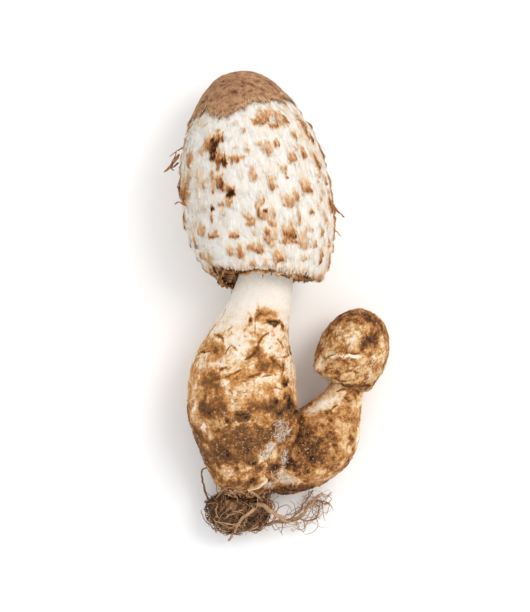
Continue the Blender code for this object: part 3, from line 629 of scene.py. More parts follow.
def bellStrands(angle, along, length, width, drift, rise, floorLift, tipTone, rng, stations=7):
    # strands that run from their root towards the rim, hugging the bell and lifting at the tip
    t = np.linspace(0, 1, stations)[None, :]
    radius = np.interp(along, outerTable["along"], outerTable["r"])[:, None]
    phase = np.array([rng.uniform(0, fullTurn) for _ in angle])[:, None]
    sway = drift[:, None] * t + 0.14 * np.sin(phase + t * 6) * t
    angles = angle[:, None] + sway / radius
    alongs = along[:, None] + length[:, None] * t
    lifts = floorLift(angles, alongs) + rise[:, None] * t**2
    paths = bellPoints(angles, alongs, lifts)
    ups = bellPoints(angles, alongs, lifts + 1.0) - paths
    widths = width[:, None] * np.sin(np.pi * (0.12 + 0.8 * t)) ** 0.7
    stain = tipTone(angles, alongs, t)
    clear = paths[:, :, 2].min(1) > 0.3      # none where the bell is pressed on the table
    return strandArrays(paths[clear], ups[clear], widths[clear], {"stain": stain[clear]})


shag = {
    "strands": 9000,
    "length": (2.5, 6.5),
    "width": (0.14, 0.3),
    "rise": (0.0, 0.4),
    "rimFringe": 700,         # strands that hang past the rim
    "perTuft": 2.4,           # strands for each mm of a tuft's width
}


def makeCap(surface, crownEdge, rng):
    say("cap: bell, tufts and shag")
    tufts = gatherTufts(surface, rng)
    brown, height = tuftFields(tufts, rng)
    sides, rows = bell["sides"], bell["rows"]
    angles = np.arange(sides) / sides * fullTurn
    mapAngles, mapAlongs = np.meshgrid(angles, np.linspace(0, bellLength, rows))
    flat = bellPoints(mapAngles, mapAlongs).reshape(-1, 3)
    local = flat @ np.linalg.inv(bellAxes).T
    streaks = lumps(local, 0.8, 1, 3.1, (1, 1, 7)) * 0.05 + lumps(local, 2.0, 2, 8.2, (1, 1, 3)) * 0.1
    wool = lumps(local, 6.0, 2, 5.5) * 0.3 + lumps(local, 0.7, 1, 1.3, (1, 1, 2.5)) * 0.03
    underCrown = 1 - easeStep(-3, 1, mapAlongs - crownEdge(mapAngles))
    relief = ((streaks + wool).reshape(rows, sides) + height) * (1 - underCrown) - 0.25 * underCrown
    warmth = lumps(local, 8.0, 3, 2.2, (1, 1, 1), 0.7).reshape(rows, sides) * 0.15 + lumps(
        local, 1.5, 2, 9.2, (1, 1, 4)).reshape(rows, sides) * 0.09
    hem = bellLength - hemRise(mapAngles)
    edgeTan = easeStep(-2.0, -0.2, mapAlongs - hem) * 0.1
    # painted shade: the bell is tanner and darker on its left and right flanks, where it turns away from the camera and
    # the light
    margin = 0.09 * easeStep(0.5, 0.95, np.abs(np.cos(mapAngles)))
    stain = np.clip(np.maximum(brown, 0.06 + warmth + edgeTan + margin), 0, 1)
    stain = np.maximum(stain, underCrown * 0.5)
    share = np.linspace(0, 1, rows)[:, None]
    hemAt = bellLength - hemRise(angles)[None, :]
    alongGrid, angleGrid = share * hemAt, np.broadcast_to(angles[None, :], (rows, sides))
    outer = bellPoints(angleGrid, alongGrid, readMap(relief, angleGrid, alongGrid))
    # lip and inside
    lipT = np.linspace(0, 1, 5)[1:-1, None, None]
    innerShare = np.linspace(1, 0, bell["innerRows"])[:, None]
    innerAlongs = innerShare * (innerTable["along"][-1] - hemRise(angles)[None, :])
    innerAngles = np.broadcast_to(angles[None, :], innerAlongs.shape)
    inside = bellPoints(innerAngles, innerAlongs, 0.0, innerTable)
    lip = outer[-1][None] * (1 - lipT) + inside[0][None] * lipT
    rings = np.concatenate([outer[1:], lip, inside[:-1]])
    lipStain = np.full((3, sides), 0.45) + lumps(lip.reshape(-1, 3), 1.5, 2, 4.4).reshape(3, sides) * 0.3
    outerStain = readMap(stain, angleGrid, alongGrid)
    marks = np.concatenate([outerStain[1:], lipStain, np.full((bell["innerRows"] - 1, sides), 0.45)])
    count = len(rings)
    points = np.concatenate([rings.reshape(-1, 3), outer[0, :1], inside[-1, :1]])
    points[:, 2] = np.maximum(points[:, 2], 0.02)
    tris = np.concatenate([
        poleFaces(0, sides, count * sides, True), poleFaces((count - 1) * sides, sides, count * sides + 1, False),
    ])
    finish = shagFinish("cottonyWhiteFlesh", 0.12)
    threadFinish = shagFinish("cottonyWhiteThreads", 0)
    makePiece("capFlesh", points, ringFaces(count, sides), tris, finish, "white_shag",
              {"stain": np.concatenate([marks.ravel(), [0.5, 0.45]])}, ["cap"])

    def skinLift(a, s):
        return readMap(relief, a, s) + 0.02

    def skinTone(a, s, t):
        return readMap(stain, a, s)

    def draws(count, low, high):
        return np.array([rng.uniform(low, high) for _ in range(count)])

    # loose shag over the whole bell, more of it where the bell is wide
    pool = [(rng.uniform(0, fullTurn), rng.uniform(12, bellLength - 2), rng.random())
            for _ in range(shag["strands"] * 2)]
    pool = [p for p in pool if p[2] < np.interp(p[1], outerTable["along"], outerTable["r"]) / 28]
    angle, along = np.array([p[0] for p in pool]), np.array([p[1] for p in pool])
    keep = along > crownEdge(angle) - 0.5
    angle, along = angle[keep][:shag["strands"]], along[keep][:shag["strands"]]
    size = len(angle)
    length = np.minimum(draws(size, *shag["length"]), bellLength - hemRise(angle) + 0.9 - along)
    keep = length > 0.8
    angle, along, length = angle[keep], along[keep], length[keep]
    size = len(angle)
    drift = np.array([rng.gauss(0, 0.5) for _ in range(size)])
    loose = bellStrands(angle, along, length, draws(size, *shag["width"]), drift, draws(size, *shag["rise"]) ** 1.6,
                        skinLift, skinTone, rng)
    makePiece("shagStrands", *loose[:3], threadFinish, "white_shag", loose[3])

    # each tuft as a brush of strands, browner towards its tip
    groups = []
    for tuft in tufts:
        number = max(4, round(tuft["width"] * shag["perTuft"]))
        q = draws(number, -1, 1)
        radius = np.interp(tuft["along"], outerTable["along"], outerTable["r"])
        start = draws(number, -0.7, -0.1) * tuft["length"]
        end = tuft["length"] * (0.5 - 0.4 * tuft["point"] * np.abs(q)) + draws(number, -0.8, 0.5)
        groups.append((
            tuft["angle"] + q * tuft["width"] * 0.48 / radius, tuft["along"] + start, np.maximum(end - start, 1.2),
            -q * tuft["width"] * 0.4 * tuft["point"], tuft["rise"] * 0.55 * draws(number, 0.3, 1.5),
            np.full(number, tuft["tone"]),
        ))
    angle, along, length, drift, rise, tone = (np.concatenate(part) for part in zip(*groups))
    keep = along + length < bellLength - hemRise(angle) + 1.2
    angle, along, length, drift, rise, tone = (v[keep] for v in (angle, along, length, drift, rise, tone))
    size = len(angle)
    jitter = draws(size, -0.2, 0.14)

    def tuftTone(a, s, t):
        tips = (tone * 0.9 + jitter)[:, None] * easeStep(0.45, 0.95, t) * (tone[:, None] > 0.2)
        return np.maximum(readMap(stain, a, s), tips)

    brush = bellStrands(angle, along, length, draws(size, 0.16, 0.38), drift, rise, skinLift, tuftTone, rng)
    makePiece("tuftBrushes", *brush[:3], threadFinish, "white_shag", brush[3])

    # fringe that hangs past the rim
    size = shag["rimFringe"]
    angle = draws(size, 0, fullTurn)
    length = draws(size, 2.0, 4.2)
    along = bellLength - hemRise(angle) - length + draws(size, -0.4, 1.0)
    fringeTone = np.array([max(0.0, rng.gauss(0.12, 0.16)) for _ in range(size)])

    def rimTone(a, s, t):
        return np.clip(readMap(stain, a, s) + fringeTone[:, None] * t, 0, 1)

    drift = np.array([rng.gauss(0, 0.6) for _ in range(size)])
    fringe = bellStrands(angle, along, length, draws(size, 0.2, 0.42), drift, draws(size, -0.2, 0.6), skinLift,
                         rimTone, rng)
    makePiece("rimFringe", *fringe[:3], threadFinish, "white_shag", fringe[3])


# Crown: where its ragged edge runs on the side that the photograph shows
crown = {
    "edge": [(186, 115), (196, 118), (203, 114), (208, 107), (212, 115), (221, 118), (229, 117), (237, 110),
             (246, 109), (250, 103), (258, 101), (264, 102), (273, 101), (280, 98), (285, 105), (291, 101),
             (296, 106)],
    "hiddenEdge": 18.5,       # mm from the apex, round the hidden side
    "ragged": 1.3,
    "thickness": 0.6,
    "lift": 0.35,             # mm off the bell
    "curl": 0.35,             # mm that the edge lifts
    "sides": 420,
    "rows": 90,
    "fringe": 700,
}


def crownEdgeOf(surface):
    # the crown's edge as a rule: mm from the apex at any angle
    places = sorted(bellPlace(seenOn(surface, px, py)[0]) for px, py in crown["edge"])
    known = np.array(places)
    angles = np.linspace(0, fullTurn, 1441)
    turn = np.mod(angles - known[0, 0], fullTurn)
    span = known[-1, 0] - known[0, 0]
    edge = np.interp(turn, known[:, 0] - known[0, 0], known[:, 1])
    hidden = easeStep(span, span + 0.35, turn) * (1 - easeStep(fullTurn - 0.35, fullTurn, turn))
    ring = np.stack([np.cos(angles), np.sin(angles), np.zeros_like(angles)], -1)
    edge = edge * (1 - hidden) + (crown["hiddenEdge"] + 2.2 * lumps(ring, 0.5, 1, 4.0)) * hidden
    edge = edge + crown["ragged"] * lumps(ring, 0.13, 5, 6.0, (1, 1, 1), 0.4)
    return lambda angle: np.interp(np.mod(angle, fullTurn), angles, edge)


def makeCrown(crownEdge, rng):
    say("crown")
    angles = np.arange(crown["sides"]) / crown["sides"] * fullTurn
    edge = crownEdge(angles)
    share = np.linspace(0, 1, crown["rows"])[:, None] ** 0.8
    alongGrid = share * edge[None, :]
    angleGrid = np.broadcast_to(angles[None, :], alongGrid.shape)
    local = bellPoints(angleGrid, alongGrid).reshape(-1, 3) @ np.linalg.inv(bellAxes).T
    shape = alongGrid.shape
    wrinkles = np.abs(lumps(local, 2.6, 3, 2.0, (1.6, 1, 1.2), 0.7)).reshape(shape)
    bumps = lumps(local, 4.4, 3, 7.0, (1, 1, 1), 0.8).reshape(shape)
    grit = lumps(local, 0.6, 2, 5.0, (1, 1, 1), 0.6).reshape(shape)
    margin = easeStep(0.84, 1.0, share)
    lift = crown["lift"] + 0.3 * bumps - 0.3 * wrinkles + 0.09 * grit + crown["curl"] * margin
    outer = bellPoints(angleGrid, alongGrid, lift + crown["thickness"] * (1 - 0.5 * easeStep(0.95, 1.0, share)))
    inner = bellPoints(angleGrid, alongGrid, lift - 0.15)[::-1]
    rings = np.concatenate([outer[1:], inner[:-1]])
    sides, count = crown["sides"], len(rings)
    # painted shade and painted light: darker where the wrinkles sink the skin, paler where the bumps raise it
    stain = 0.48 + 0.35 * wrinkles - 0.16 * bumps + 0.14 * grit - 0.16 * margin + 0.3 * margin * grit
    marks = np.concatenate([stain[1:], stain[::-1][:-1]])
    points = np.concatenate([rings.reshape(-1, 3), outer[0, :1], inner[-1, :1]])
    tris = np.concatenate([
        poleFaces(0, sides, count * sides, True), poleFaces((count - 1) * sides, sides, count * sides + 1, False),
    ])
    finish = crownFinish()
    makePiece("crownSkin", points, ringFaces(count, sides), tris, finish, "crown_skin",
              {"stain": np.concatenate([marks.ravel(), [0.5, 0.5]])}, ["cap_crown"])
    size = crown["fringe"]
    angle = np.array([rng.uniform(0, fullTurn) for _ in range(size)])
    length = np.array([rng.uniform(1.4, 4.2) for _ in range(size)])
    along = crownEdge(angle) - length * np.array([rng.uniform(0.35, 0.95) for _ in range(size)])
    width = np.array([rng.uniform(0.15, 0.34) for _ in range(size)])
    drift = np.array([rng.gauss(0, 0.5) for _ in range(size)])
    rise = np.array([rng.uniform(-0.4, 0.2) for _ in range(size)])
    tone = np.array([rng.uniform(0.15, 0.7) for _ in range(size)])
    strands = bellStrands(
        angle, along, length, width, drift, rise, lambda a, s: np.full(a.shape, crown["lift"] + 0.7),
        lambda a, s, t: tone[:, None] + 0 * a, rng)
    makePiece("crownFringe", *strands[:3], finish, "crown_skin", strands[3])


gills = {
    "count": 100,
    "thickness": 0.36,
    "liningGap": 0.65,        # mm between the flesh and the lining's back
    "lining": 0.5,
    "edge": [(8.9, 66), (10.3, 34), (12.8, 3)],
    "top": 66.0,              # mm above the rim
    "bottom": 1.4,
    "torn": [(4.7, 0.6, 2.6), (0.9, 0.7, 2.8), (2.4, 0.55, -3.2), (3.7, 0.4, 1.6)],
    "rows": 44,
    "wave": 0.26,
}


def makeGills(rng):
    say("gills")
    depths = [0.0, 0.35, 0.7, 1.0, 1.0, 0.7, 0.35, 0.0]
    signs = [-1, -1, -1, -1, 1, 1, 1, 1]
    share = np.linspace(0, 1, gills["rows"]) ** 0.7
    columns, deep = [], []
    for k in range(gills["count"]):
        centre = fullTurn * k / gills["count"]
        low = gills["bottom"] + float(hemRise(centre, gills["torn"]))
        heights = gills["top"] + (low - gills["top"]) * share
        back = np.interp(-heights, -innerTable["h"], innerTable["r"]) - gills["liningGap"]
        front = back - gills["lining"]
        edge = np.interp(-heights, [-p[1] for p in gills["edge"]], [p[0] for p in gills["edge"]])
        edge = np.minimum(edge, front - 0.4)
        full = 1.0 if k % 2 == 0 else rng.uniform(0.55, 0.9)
        for depth, sign in zip(depths, signs):
            r = front + (edge - front) * depth * full
            half = gills["thickness"] / 2 * (1 - 0.4 * depth)
            sway = gills["wave"] * depth * np.sin(heights * 0.5 + k * 1.7)
            columns.append((r, centre + (sign * half + sway) / r, heights, back + 0.5 * (depth - 1.0)))
            deep.append(depth)
    radius, angle, height, back = (np.array([c[i] for c in columns]).T for i in range(4))
    sides = radius.shape[1]
    evenAngles = np.broadcast_to(angle.mean(0)[None, :], angle.shape)
    allRadius = np.concatenate([radius, back[::-1]])
    allAngle = np.concatenate([angle, evenAngles])
    allHeight = np.concatenate([height, height[::-1]])
    x, y = allRadius * np.cos(allAngle), allRadius * np.sin(allAngle)
    local = np.stack([x, y, allHeight + rimShift(x, allAngle, allHeight)], -1)
    points = (local @ bellAxes.T + np.array(bell["rimCentre"])).reshape(-1, 3)
    # painted shade: darkest in the valleys where neighbouring plates meet at the lining, palest at their free edges
    tone = 1.0 - 0.85 * np.array(deep)[None, :] ** 1.4 + 0 * radius
    marks = np.concatenate([tone, tone])
    marks = marks + 0.15 * lumps(points, 1.5, 2, 6.0).reshape(marks.shape)
    rows = len(allRadius)
    makePiece("gillPleats", points, ringFaces(rows, sides, True), noTris, gillFinish(), "gill_flesh",
              {"stain": marks.ravel()}, ["gills"])


veil = {
    "cords": 4,
    "radius": (0.22, 0.5),
    "twist": 5,               # turns of the cords round one another
    "spread": 0.45,
    "pulledUp": [(4.7, 0.5, 2.2), (0.8, 0.75, 3.8), (2.4, 0.42, -0.5), (3.75, 0.45, 3.4), (0.0, 0.4, 0.6),
                 (5.6, 0.4, 0.6)],
    "scraps": 60,
    "stations": 300,
}


def makeVeil(rng):
    say("veil")
    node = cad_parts["veil_edge"]
    ring = np.array([v.co for v in node.data.vertices]) / mm
    local = (ring - np.array(bell["rimCentre"])) @ np.linalg.inv(bellAxes).T
    angle = np.mod(np.arctan2(local[:, 1], local[:, 0]), fullTurn)
    bins = np.round(angle / fullTurn * 44).astype(int) % 44
    middle = np.array([local[bins == k].mean(0) for k in range(44)])
    knots = np.concatenate([middle, middle[:1]])
    place = np.linspace(0, 44, veil["stations"] + 1)[:-1]
    base = np.stack([np.interp(place, np.arange(45), knots[:, axis]) for axis in range(3)], -1)
    around = place / 44 * fullTurn
    outward = np.stack([np.cos(around), np.sin(around), np.zeros_like(around)], -1)
    up = np.array((0, 0, 1.0))
    base = base + up * hemRise(around, veil["pulledUp"])[:, None]
    routes, tones = [], []
    for k in range(veil["cords"]):
        phase = fullTurn * k / veil["cords"] + veil["twist"] * around + 0.8 * np.sin(around * 3 + k)
        spot = np.stack([around * 3 + k * 9, around * 0, around * 0], -1)
        wobble = lumps(spot, 1.0, 2, k)
        offset = veil["spread"] * (1 + 0.5 * wobble)
        route = base + outward * (np.cos(phase) * offset)[:, None] + up * (np.sin(phase) * offset)[:, None]
        radii = np.interp(wobble, (-0.8, 0.8), veil["radius"])
        routes.append((route @ bellAxes.T + np.array(bell["rimCentre"]), radii))
        tones.append(0.35 + 0.12 * k)
    points, quads, tris, tone = [], [], [], []
    start = 0
    for (route, radii), value in zip(routes, tones):
        run = np.roll(route, -1, 0) - np.roll(route, 1, 0)
        run /= np.linalg.norm(run, axis=1, keepdims=True)
        across = np.cross(run, np.array(bellAxes[:, 2]))
        across /= np.linalg.norm(across, axis=1, keepdims=True)
        other = np.cross(run, across)
        circle = np.linspace(0, fullTurn, 7)[:-1]
        tube = route[:, None] + radii[:, None, None] * (
            across[:, None] * np.cos(circle)[None, :, None] + other[:, None] * np.sin(circle)[None, :, None])
        points.append(tube.reshape(-1, 3))
        quads.append(ringFaces(len(route), 6, True) + start)
        start += len(route) * 6
        tone.append(value + 0.5 * lumps(tube.reshape(-1, 3), 2.4, 3, 3.0, (1, 1, 1), 0.7))
    makePiece("veilCord", np.concatenate(points), np.concatenate(quads), noTris, veilFinish(), "torn_veil",
              {"stain": np.concatenate(tone)}, ["veil_edge"])
    # scraps of veil that stick out of the cord
    starts = [rng.randrange(veil["stations"]) for _ in range(veil["scraps"])]
    t = np.linspace(0, 1, 5)[None, :, None]
    root = base[starts][:, None]
    push = np.array([(rng.gauss(0, 0.9), rng.gauss(0, 0.9), rng.uniform(-2.2, 1.4)) for _ in starts])[:, None]
    paths = (root + push * t) @ bellAxes.T + np.array(bell["rimCentre"])
    ups = np.broadcast_to((outward[starts][:, None]) @ bellAxes.T, paths.shape)
    widths = np.array([rng.uniform(0.3, 0.7) for _ in starts])[:, None] * np.sin(
        np.pi * (0.2 + 0.7 * t[:, :, 0]))
    stain = np.array([rng.uniform(0.15, 0.8) for _ in starts])[:, None] + 0 * widths
    scraps = strandArrays(paths, ups, widths, {"stain": stain})
    makePiece("veilScraps", *scraps[:3], bpy.data.materials["tornVeilFibres"], "torn_veil", scraps[3])


def spotField(points, surface, spots):
    # soft patches on the side that the photograph shows: pixel, half width, half height in mm, amount
    total = np.zeros(len(points))
    for px, py, wide, high, amount in spots:
        place, _ = seenOn(surface, px, py)
        reach = max(wide, high) * 2.4
        near = np.abs(points - np.array(place)).max(1) < reach
        away = (points[near] - np.array(place)) / (wide, high, max(wide, high))
        total[near] += amount * np.exp(-1.1 * (away**2).sum(1))
    return total


def edgeField(points, surface, edges):
    # torn edges of skin, each a row of pixels with its half width in mm. The dark line along the edge, partly brown rim
    # and partly painted shadow of the lifted flap, and the flap below it, which stands up at the edge and sinks away
    # downwards
    line, flap = np.zeros(len(points)), np.zeros(len(points))
    for half, *pixels in edges:
        spots = np.array([seenOn(surface, px, py)[0] for px, py in pixels])
        for k, (a, b) in enumerate(zip(spots, spots[1:])):
            near = np.nonzero(np.abs(points - (a + b) / 2).max(1) < np.abs(b - a).max() / 2 + 4)[0]
            run = b - a
            t = np.clip((points[near] - a) @ run / (run @ run), 0, 1)
            offset = points[near] - a - t[:, None] * run
            away = np.linalg.norm(offset, axis=1)
            place = (k + t) / (len(spots) - 1)
            taper = 0.3 + 0.7 * np.sin(np.pi * np.clip(place, 0.03, 0.97)) ** 0.6
            line[near] = np.maximum(line[near], np.exp(-(away / (half * taper)) ** 2))
            below = easeStep(0.0, 0.25, -offset[:, 1])
            flap[near] = np.maximum(flap[near], below * np.exp(-away / 1.8) * taper)
    return line, flap


def mottled(points, size, seed):
    # ragged patches from large to very small
    return (lumps(points, size, 5, seed, (1, 1, 1), 0.45) * 0.42
            + lumps(points, size * 0.3, 4, seed + 4, (1, 1, 1), 0.4) * 0.22)


stem = {
    "voxel": 0.65,
    # how stained it is, by the photograph's rows from the neck down
    "rows": (270, 304, 318, 334, 350, 366, 382, 398, 410, 422, 436, 460, 468, 480, 492),
    "stain": (0.02, 0.05, 0.18, 0.27, 0.33, 0.37, 0.43, 0.48, 0.54, 0.61, 0.68, 0.68, 0.54, 0.48, 0.46),
    # how much the patches show, by the same rows
    "patches": (0.02, 0.04, 0.2, 0.36, 0.44, 0.46, 0.48, 0.5, 0.56, 0.56, 0.44, 0.44, 0.56, 0.56, 0.5),
    # the least stain between them and the most in them
    "least": (0.0, 0.02, 0.12, 0.17, 0.2, 0.25, 0.31, 0.34, 0.36, 0.38, 0.4, 0.4, 0.34, 0.32, 0.32),
    "most": (0.1, 0.14, 0.34, 0.42, 0.45, 0.47, 0.5, 0.53, 0.62, 0.82, 1.0, 1.0, 0.74, 0.64, 0.7),
    "spots": [
        (263, 312, 3.0, 2.0, 0.3), (272, 314, 3.0, 2.4, 0.3), (276, 323, 3.0, 0.9, 0.75), (270, 322, 1.2, 0.8, 0.5),
        (283, 327, 0.8, 1.8, 0.6), (250, 321, 1.0, 2.2, 0.62), (230, 328, 0.5, 1.2, 0.4), (246, 331, 0.6, 1.6, 0.3),
        (258, 313, 1.0, 3.0, 0.35), (262, 322, 1.6, 4.0, 0.1),
        (208, 345, 4.0, 4.2, 0.26), (216, 350, 3.2, 2.4, 0.3), (218, 336, 2.6, 1.4, 0.3), (203, 352, 1.4, 0.8, 0.5),
        (256, 350, 2.2, 2.6, 0.28), (262, 352, 1.8, 3.4, 0.16), (252, 357, 2.4, 1.0, 0.4), (266, 366, 7.0, 3.0, 0.18),
        (270, 342, 3.4, 3.4, -0.1), (240, 352, 4.0, 4.0, -0.14), (238, 366, 5.0, 3.0, -0.12), (225, 364, 5.0, 2.4, -0.1),
        (275, 350, 5.0, 2.0, -0.1), (290, 351, 0.8, 1.2, 0.6), (272, 360, 1.4, 1.0, 0.45), (282, 370, 0.6, 1.6, 0.5),
        (222, 369, 1.6, 0.8, 0.55), (229, 378, 5.0, 1.2, 0.2), (213, 378, 2.0, 3.0, 0.24),
        (203, 381, 2.4, 1.8, 0.2), (204, 395, 2.6, 2.4, 0.12), (202, 404, 2.6, 2.0, 0.16), (216, 388, 3.0, 2.4, 0.1),
        (221, 406, 3.0, 2.2, 0.22), (212, 412, 5.0, 2.6, 0.14), (216, 400, 2.4, 2.0, 0.1), (243, 413, 4.4, 2.4, 0.24),
        (234, 402, 3.6, 3.4, -0.24), (240, 394, 5.0, 3.0, -0.14), (250, 388, 5.0, 3.0, -0.12), (262, 380, 4.0, 2.0, -0.14),
        (294, 372, 1.4, 13.0, -0.34), (286, 384, 1.6, 1.4, 0.7), (289, 400, 1.4, 1.4, 0.5), (284, 397, 1.2, 1.2, 0.5),
        (275, 401, 1.6, 1.2, 0.45), (278, 413, 2.0, 1.4, 0.4), (290, 408, 3.0, 4.0, 0.34), (268, 408, 2.6, 1.8, 0.26),
        (194, 405, 1.3, 7.0, -0.4), (203, 427, 1.6, 3.0, -0.46), (210, 437, 2.2, 4.0, -0.32), (217, 422, 3.0, 1.4, -0.34),
        (239, 424, 5.6, 0.7, -0.36), (226, 426, 3.0, 0.8, -0.3), (206, 446, 1.4, 2.0, -0.3), (232, 412, 1.4, 3.6, -0.3),
        (258, 416, 3.0, 1.6, -0.26), (240, 434, 9.0, 2.6, -0.02), (272, 422, 3.0, 2.4, -0.04), (277, 432, 3.4, 2.6, -0.06),
        (268, 452, 3.2, 3.6, -0.52), (272, 446, 2.4, 2.6, -0.46), (262, 460, 2.6, 1.8, -0.4),
        (274, 466, 2.2, 2.2, 0.3), (224, 471, 3.2, 2.6, -0.2), (228, 469, 1.6, 1.4, -0.3), (237, 468, 1.4, 3.4, 0.3),
        (249, 469, 2.4, 1.4, -0.2), (252, 464, 2.0, 1.2, 0.34), (260, 466, 1.4, 1.4, 0.2), (254, 481, 2.4, 1.6, 0.36),
        (245, 477, 3.0, 1.4, -0.16), (217, 480, 2.0, 2.4, -0.06), (232, 482, 3.0, 2.0, 0.04), (240, 487, 5.0, 1.4, 0.02),
        (216, 488, 1.6, 1.4, 0.3), (224, 492, 2.0, 1.3, 0.42), (233, 495, 2.4, 1.3, 0.5), (243, 497, 2.4, 1.3, 0.5),
        (253, 494, 2.0, 1.4, 0.46), (261, 489, 1.6, 1.5, 0.44), (229, 489, 1.2, 1.0, 0.3), (247, 491, 1.6, 0.9, 0.3),
    ],
    # torn edges of the skin: half width in mm, then pixels along the edge
    "edges": [
        (0.5, (215, 334), (219, 336), (223, 339), (223, 343)),
        (0.42, (225, 354), (228, 349), (231, 345), (235, 348), (237, 351)),
        (0.6, (245, 360), (248, 358), (254, 354), (258, 349), (259, 343), (262, 337), (269, 333)),
        (0.55, (278, 339), (281, 343), (284, 348)), (0.3, (278, 358), (286, 357), (294, 353)),
        (0.75, (244, 381), (251, 377), (261, 373)), (0.35, (262, 377), (267, 376), (271, 375)),
        (0.5, (216, 380), (228, 377), (235, 373), (241, 370)), (0.16, (256, 308), (255, 322), (254, 337)),
        (0.35, (200, 352), (206, 353), (211, 351)), (0.4, (208, 336), (214, 327), (220, 320)),
        (0.3, (220, 320), (227, 308), (233, 298)), (0.4, (192, 372), (195, 362), (199, 354)),
        (0.3, (281, 326), (284, 325), (283, 332)), (0.3, (268, 390), (276, 387), (283, 390)),
    ],
    "ridge": [(266, 464), (268, 472), (266, 480), (258, 487), (248, 489)],
    "ridgeSize": 0.9,
}


def rowOf(points):
    # the photograph's row that a point is seen on, near enough
    return picture["centre"][1] - (points[:, 1] - picture["over"][1]) / picture["mmPerPixel"]


def makeStem():
    say("stem")
    points, quads, normals = skinOf("stem", stem["voxel"], 6)
    surface = surfaceOf(points, quads)
    row = rowOf(points)
    warp = np.stack([lumps(points, 3.0, 3, s, (1, 1, 1), 0.6) for s in (1.0, 5.0, 9.0)], -1)
    clean = 1 - easeStep(306, 330, row + 4 * warp[:, 0])
    amount = np.interp(row + 6 * warp[:, 1], stem["rows"], stem["patches"])
    base = np.interp(row + 8 * warp[:, 1], stem["rows"], stem["stain"])
    patches = mottled(points, 6.0, 4.7)
    spots = spotField(points + 1.1 * warp, surface, stem["spots"])
    line, flap = edgeField(points + 0.3 * warp, surface, stem["edges"])
    ridge, _ = edgeField(points, surface, [(stem["ridgeSize"], *stem["ridge"])])
    least = np.interp(row, stem["rows"], stem["least"]) + 0.1 * lumps(points, 2.0, 3, 5.0, (1, 1, 1), 0.5)
    bare = easeStep(-0.3, -0.42, spots)      # the few places that are paler still
    most = np.interp(row + 10 * warp[:, 2], stem["rows"], stem["most"]) + 0.08 * patches
    stain = np.minimum(base + patches * amount, most) + spots
    stain = np.clip(np.maximum(stain, least - 0.3 * bare), 0.02, 1)
    soiled = easeStep(0.56, 0.64, stain)
    grains = lumps(points, 1.0, 3, 6.0, (1, 1, 1), 0.5)
    # the dark line along each torn edge: partly the rim's own brown, partly painted shadow cast by the flap
    stain = stain * (1 - line) + np.maximum(stain, 0.68) * line - 0.14 * flap * (1 - line) + 0.14 * soiled * grains
    stain = stain * (1 - ridge) + 0.22 * ridge
    relief = 0.3 * lumps(points, 5.0, 3, 1.0) * (1 - 0.7 * clean) + 0.07 * lumps(points, 0.8, 2, 3.0)
    relief += 0.06 * lumps(points, 1.1, 1, 7.0, (1, 6, 1)) * clean - 0.22 * patches * amount * (1 - soiled)
    relief += soiled * (0.16 + 0.26 * grains) + 0.5 * flap - 0.4 * line + 0.7 * ridge
    relief -= 0.9 * np.clip(spotField(points, surface, [(253, 465, 2.0, 1.2, 1.0), (254, 481, 2.6, 1.6, 1.0)]), 0, 1)
    relief *= easeStep(250, 268, row)
    points = points + normals * relief[:, None]
    points[:, 2] = np.maximum(points[:, 2], 0.02)
    makePiece("stemFlesh", points, quads, noTris, stemFinish(), "stem_flesh", {"stain": np.clip(stain, 0, 1)},
              ["stem"])
    return surface


youngStem = {
    "voxel": 0.5,
    "rows": (370, 392, 405, 425, 445, 465, 480, 500),
    "stain": (0.5, 0.47, 0.46, 0.52, 0.52, 0.6, 0.58, 0.56),
    "spots": [
        (338, 392, 3.0, 2.6, -0.3), (330, 400, 3.0, 3.0, -0.3), (320, 405, 3.4, 1.8, -0.34), (312, 411, 3.4, 1.8, -0.34),
        (305, 416, 2.4, 1.6, -0.2), (348, 399, 1.4, 3.4, 0.22), (354, 396, 1.0, 3.0, 0.2), (360, 400, 1.2, 5.0, -0.26),
        (360, 430, 1.4, 4.4, -0.5), (357, 440, 1.6, 3.4, -0.44), (350, 450, 1.8, 1.8, -0.2),
        (312, 438, 3.6, 2.4, 0.12), (322, 440, 4.0, 2.6, 0.14), (318, 448, 4.0, 3.0, 0.12), (327, 456, 3.4, 2.6, 0.16),
        (304, 434, 3.4, 3.0, 0.3), (298, 425, 2.6, 4.0, 0.3), (310, 460, 4.0, 2.0, 0.2), (300, 448, 3.0, 3.4, 0.16),
        (340, 462, 5.0, 2.4, -0.16), (318, 470, 4.0, 2.0, -0.14), (326, 478, 6.0, 2.0, -0.1), (330, 412, 1.6, 1.0, 0.26),
        (292, 466, 2.6, 2.6, 0.44), (283, 462, 2.0, 2.0, 0.3), (282, 450, 2.4, 3.4, 0.26), (292, 436, 2.0, 3.0, 0.3),
        (288, 478, 4.0, 2.6, -0.42), (283, 472, 2.0, 2.0, -0.3), (296, 482, 3.6, 1.4, -0.2), (310, 482, 4.0, 1.6, -0.06),
        (295, 490, 7.0, 1.8, 0.24), (284, 488, 3.0, 2.0, 0.24), (345, 478, 3.0, 2.4, 0.1), (332, 428, 5.0, 3.0, -0.02),
    ],
    "edges": [(0.3, (342, 397), (347, 399), (352, 402)), (0.4, (330, 411), (334, 407), (338, 405)),
              (0.5, (317, 452), (322, 454), (329, 453)), (0.4, (308, 437), (316, 437), (322, 440)),
              (0.35, (336, 392), (342, 389), (349, 390))],
}

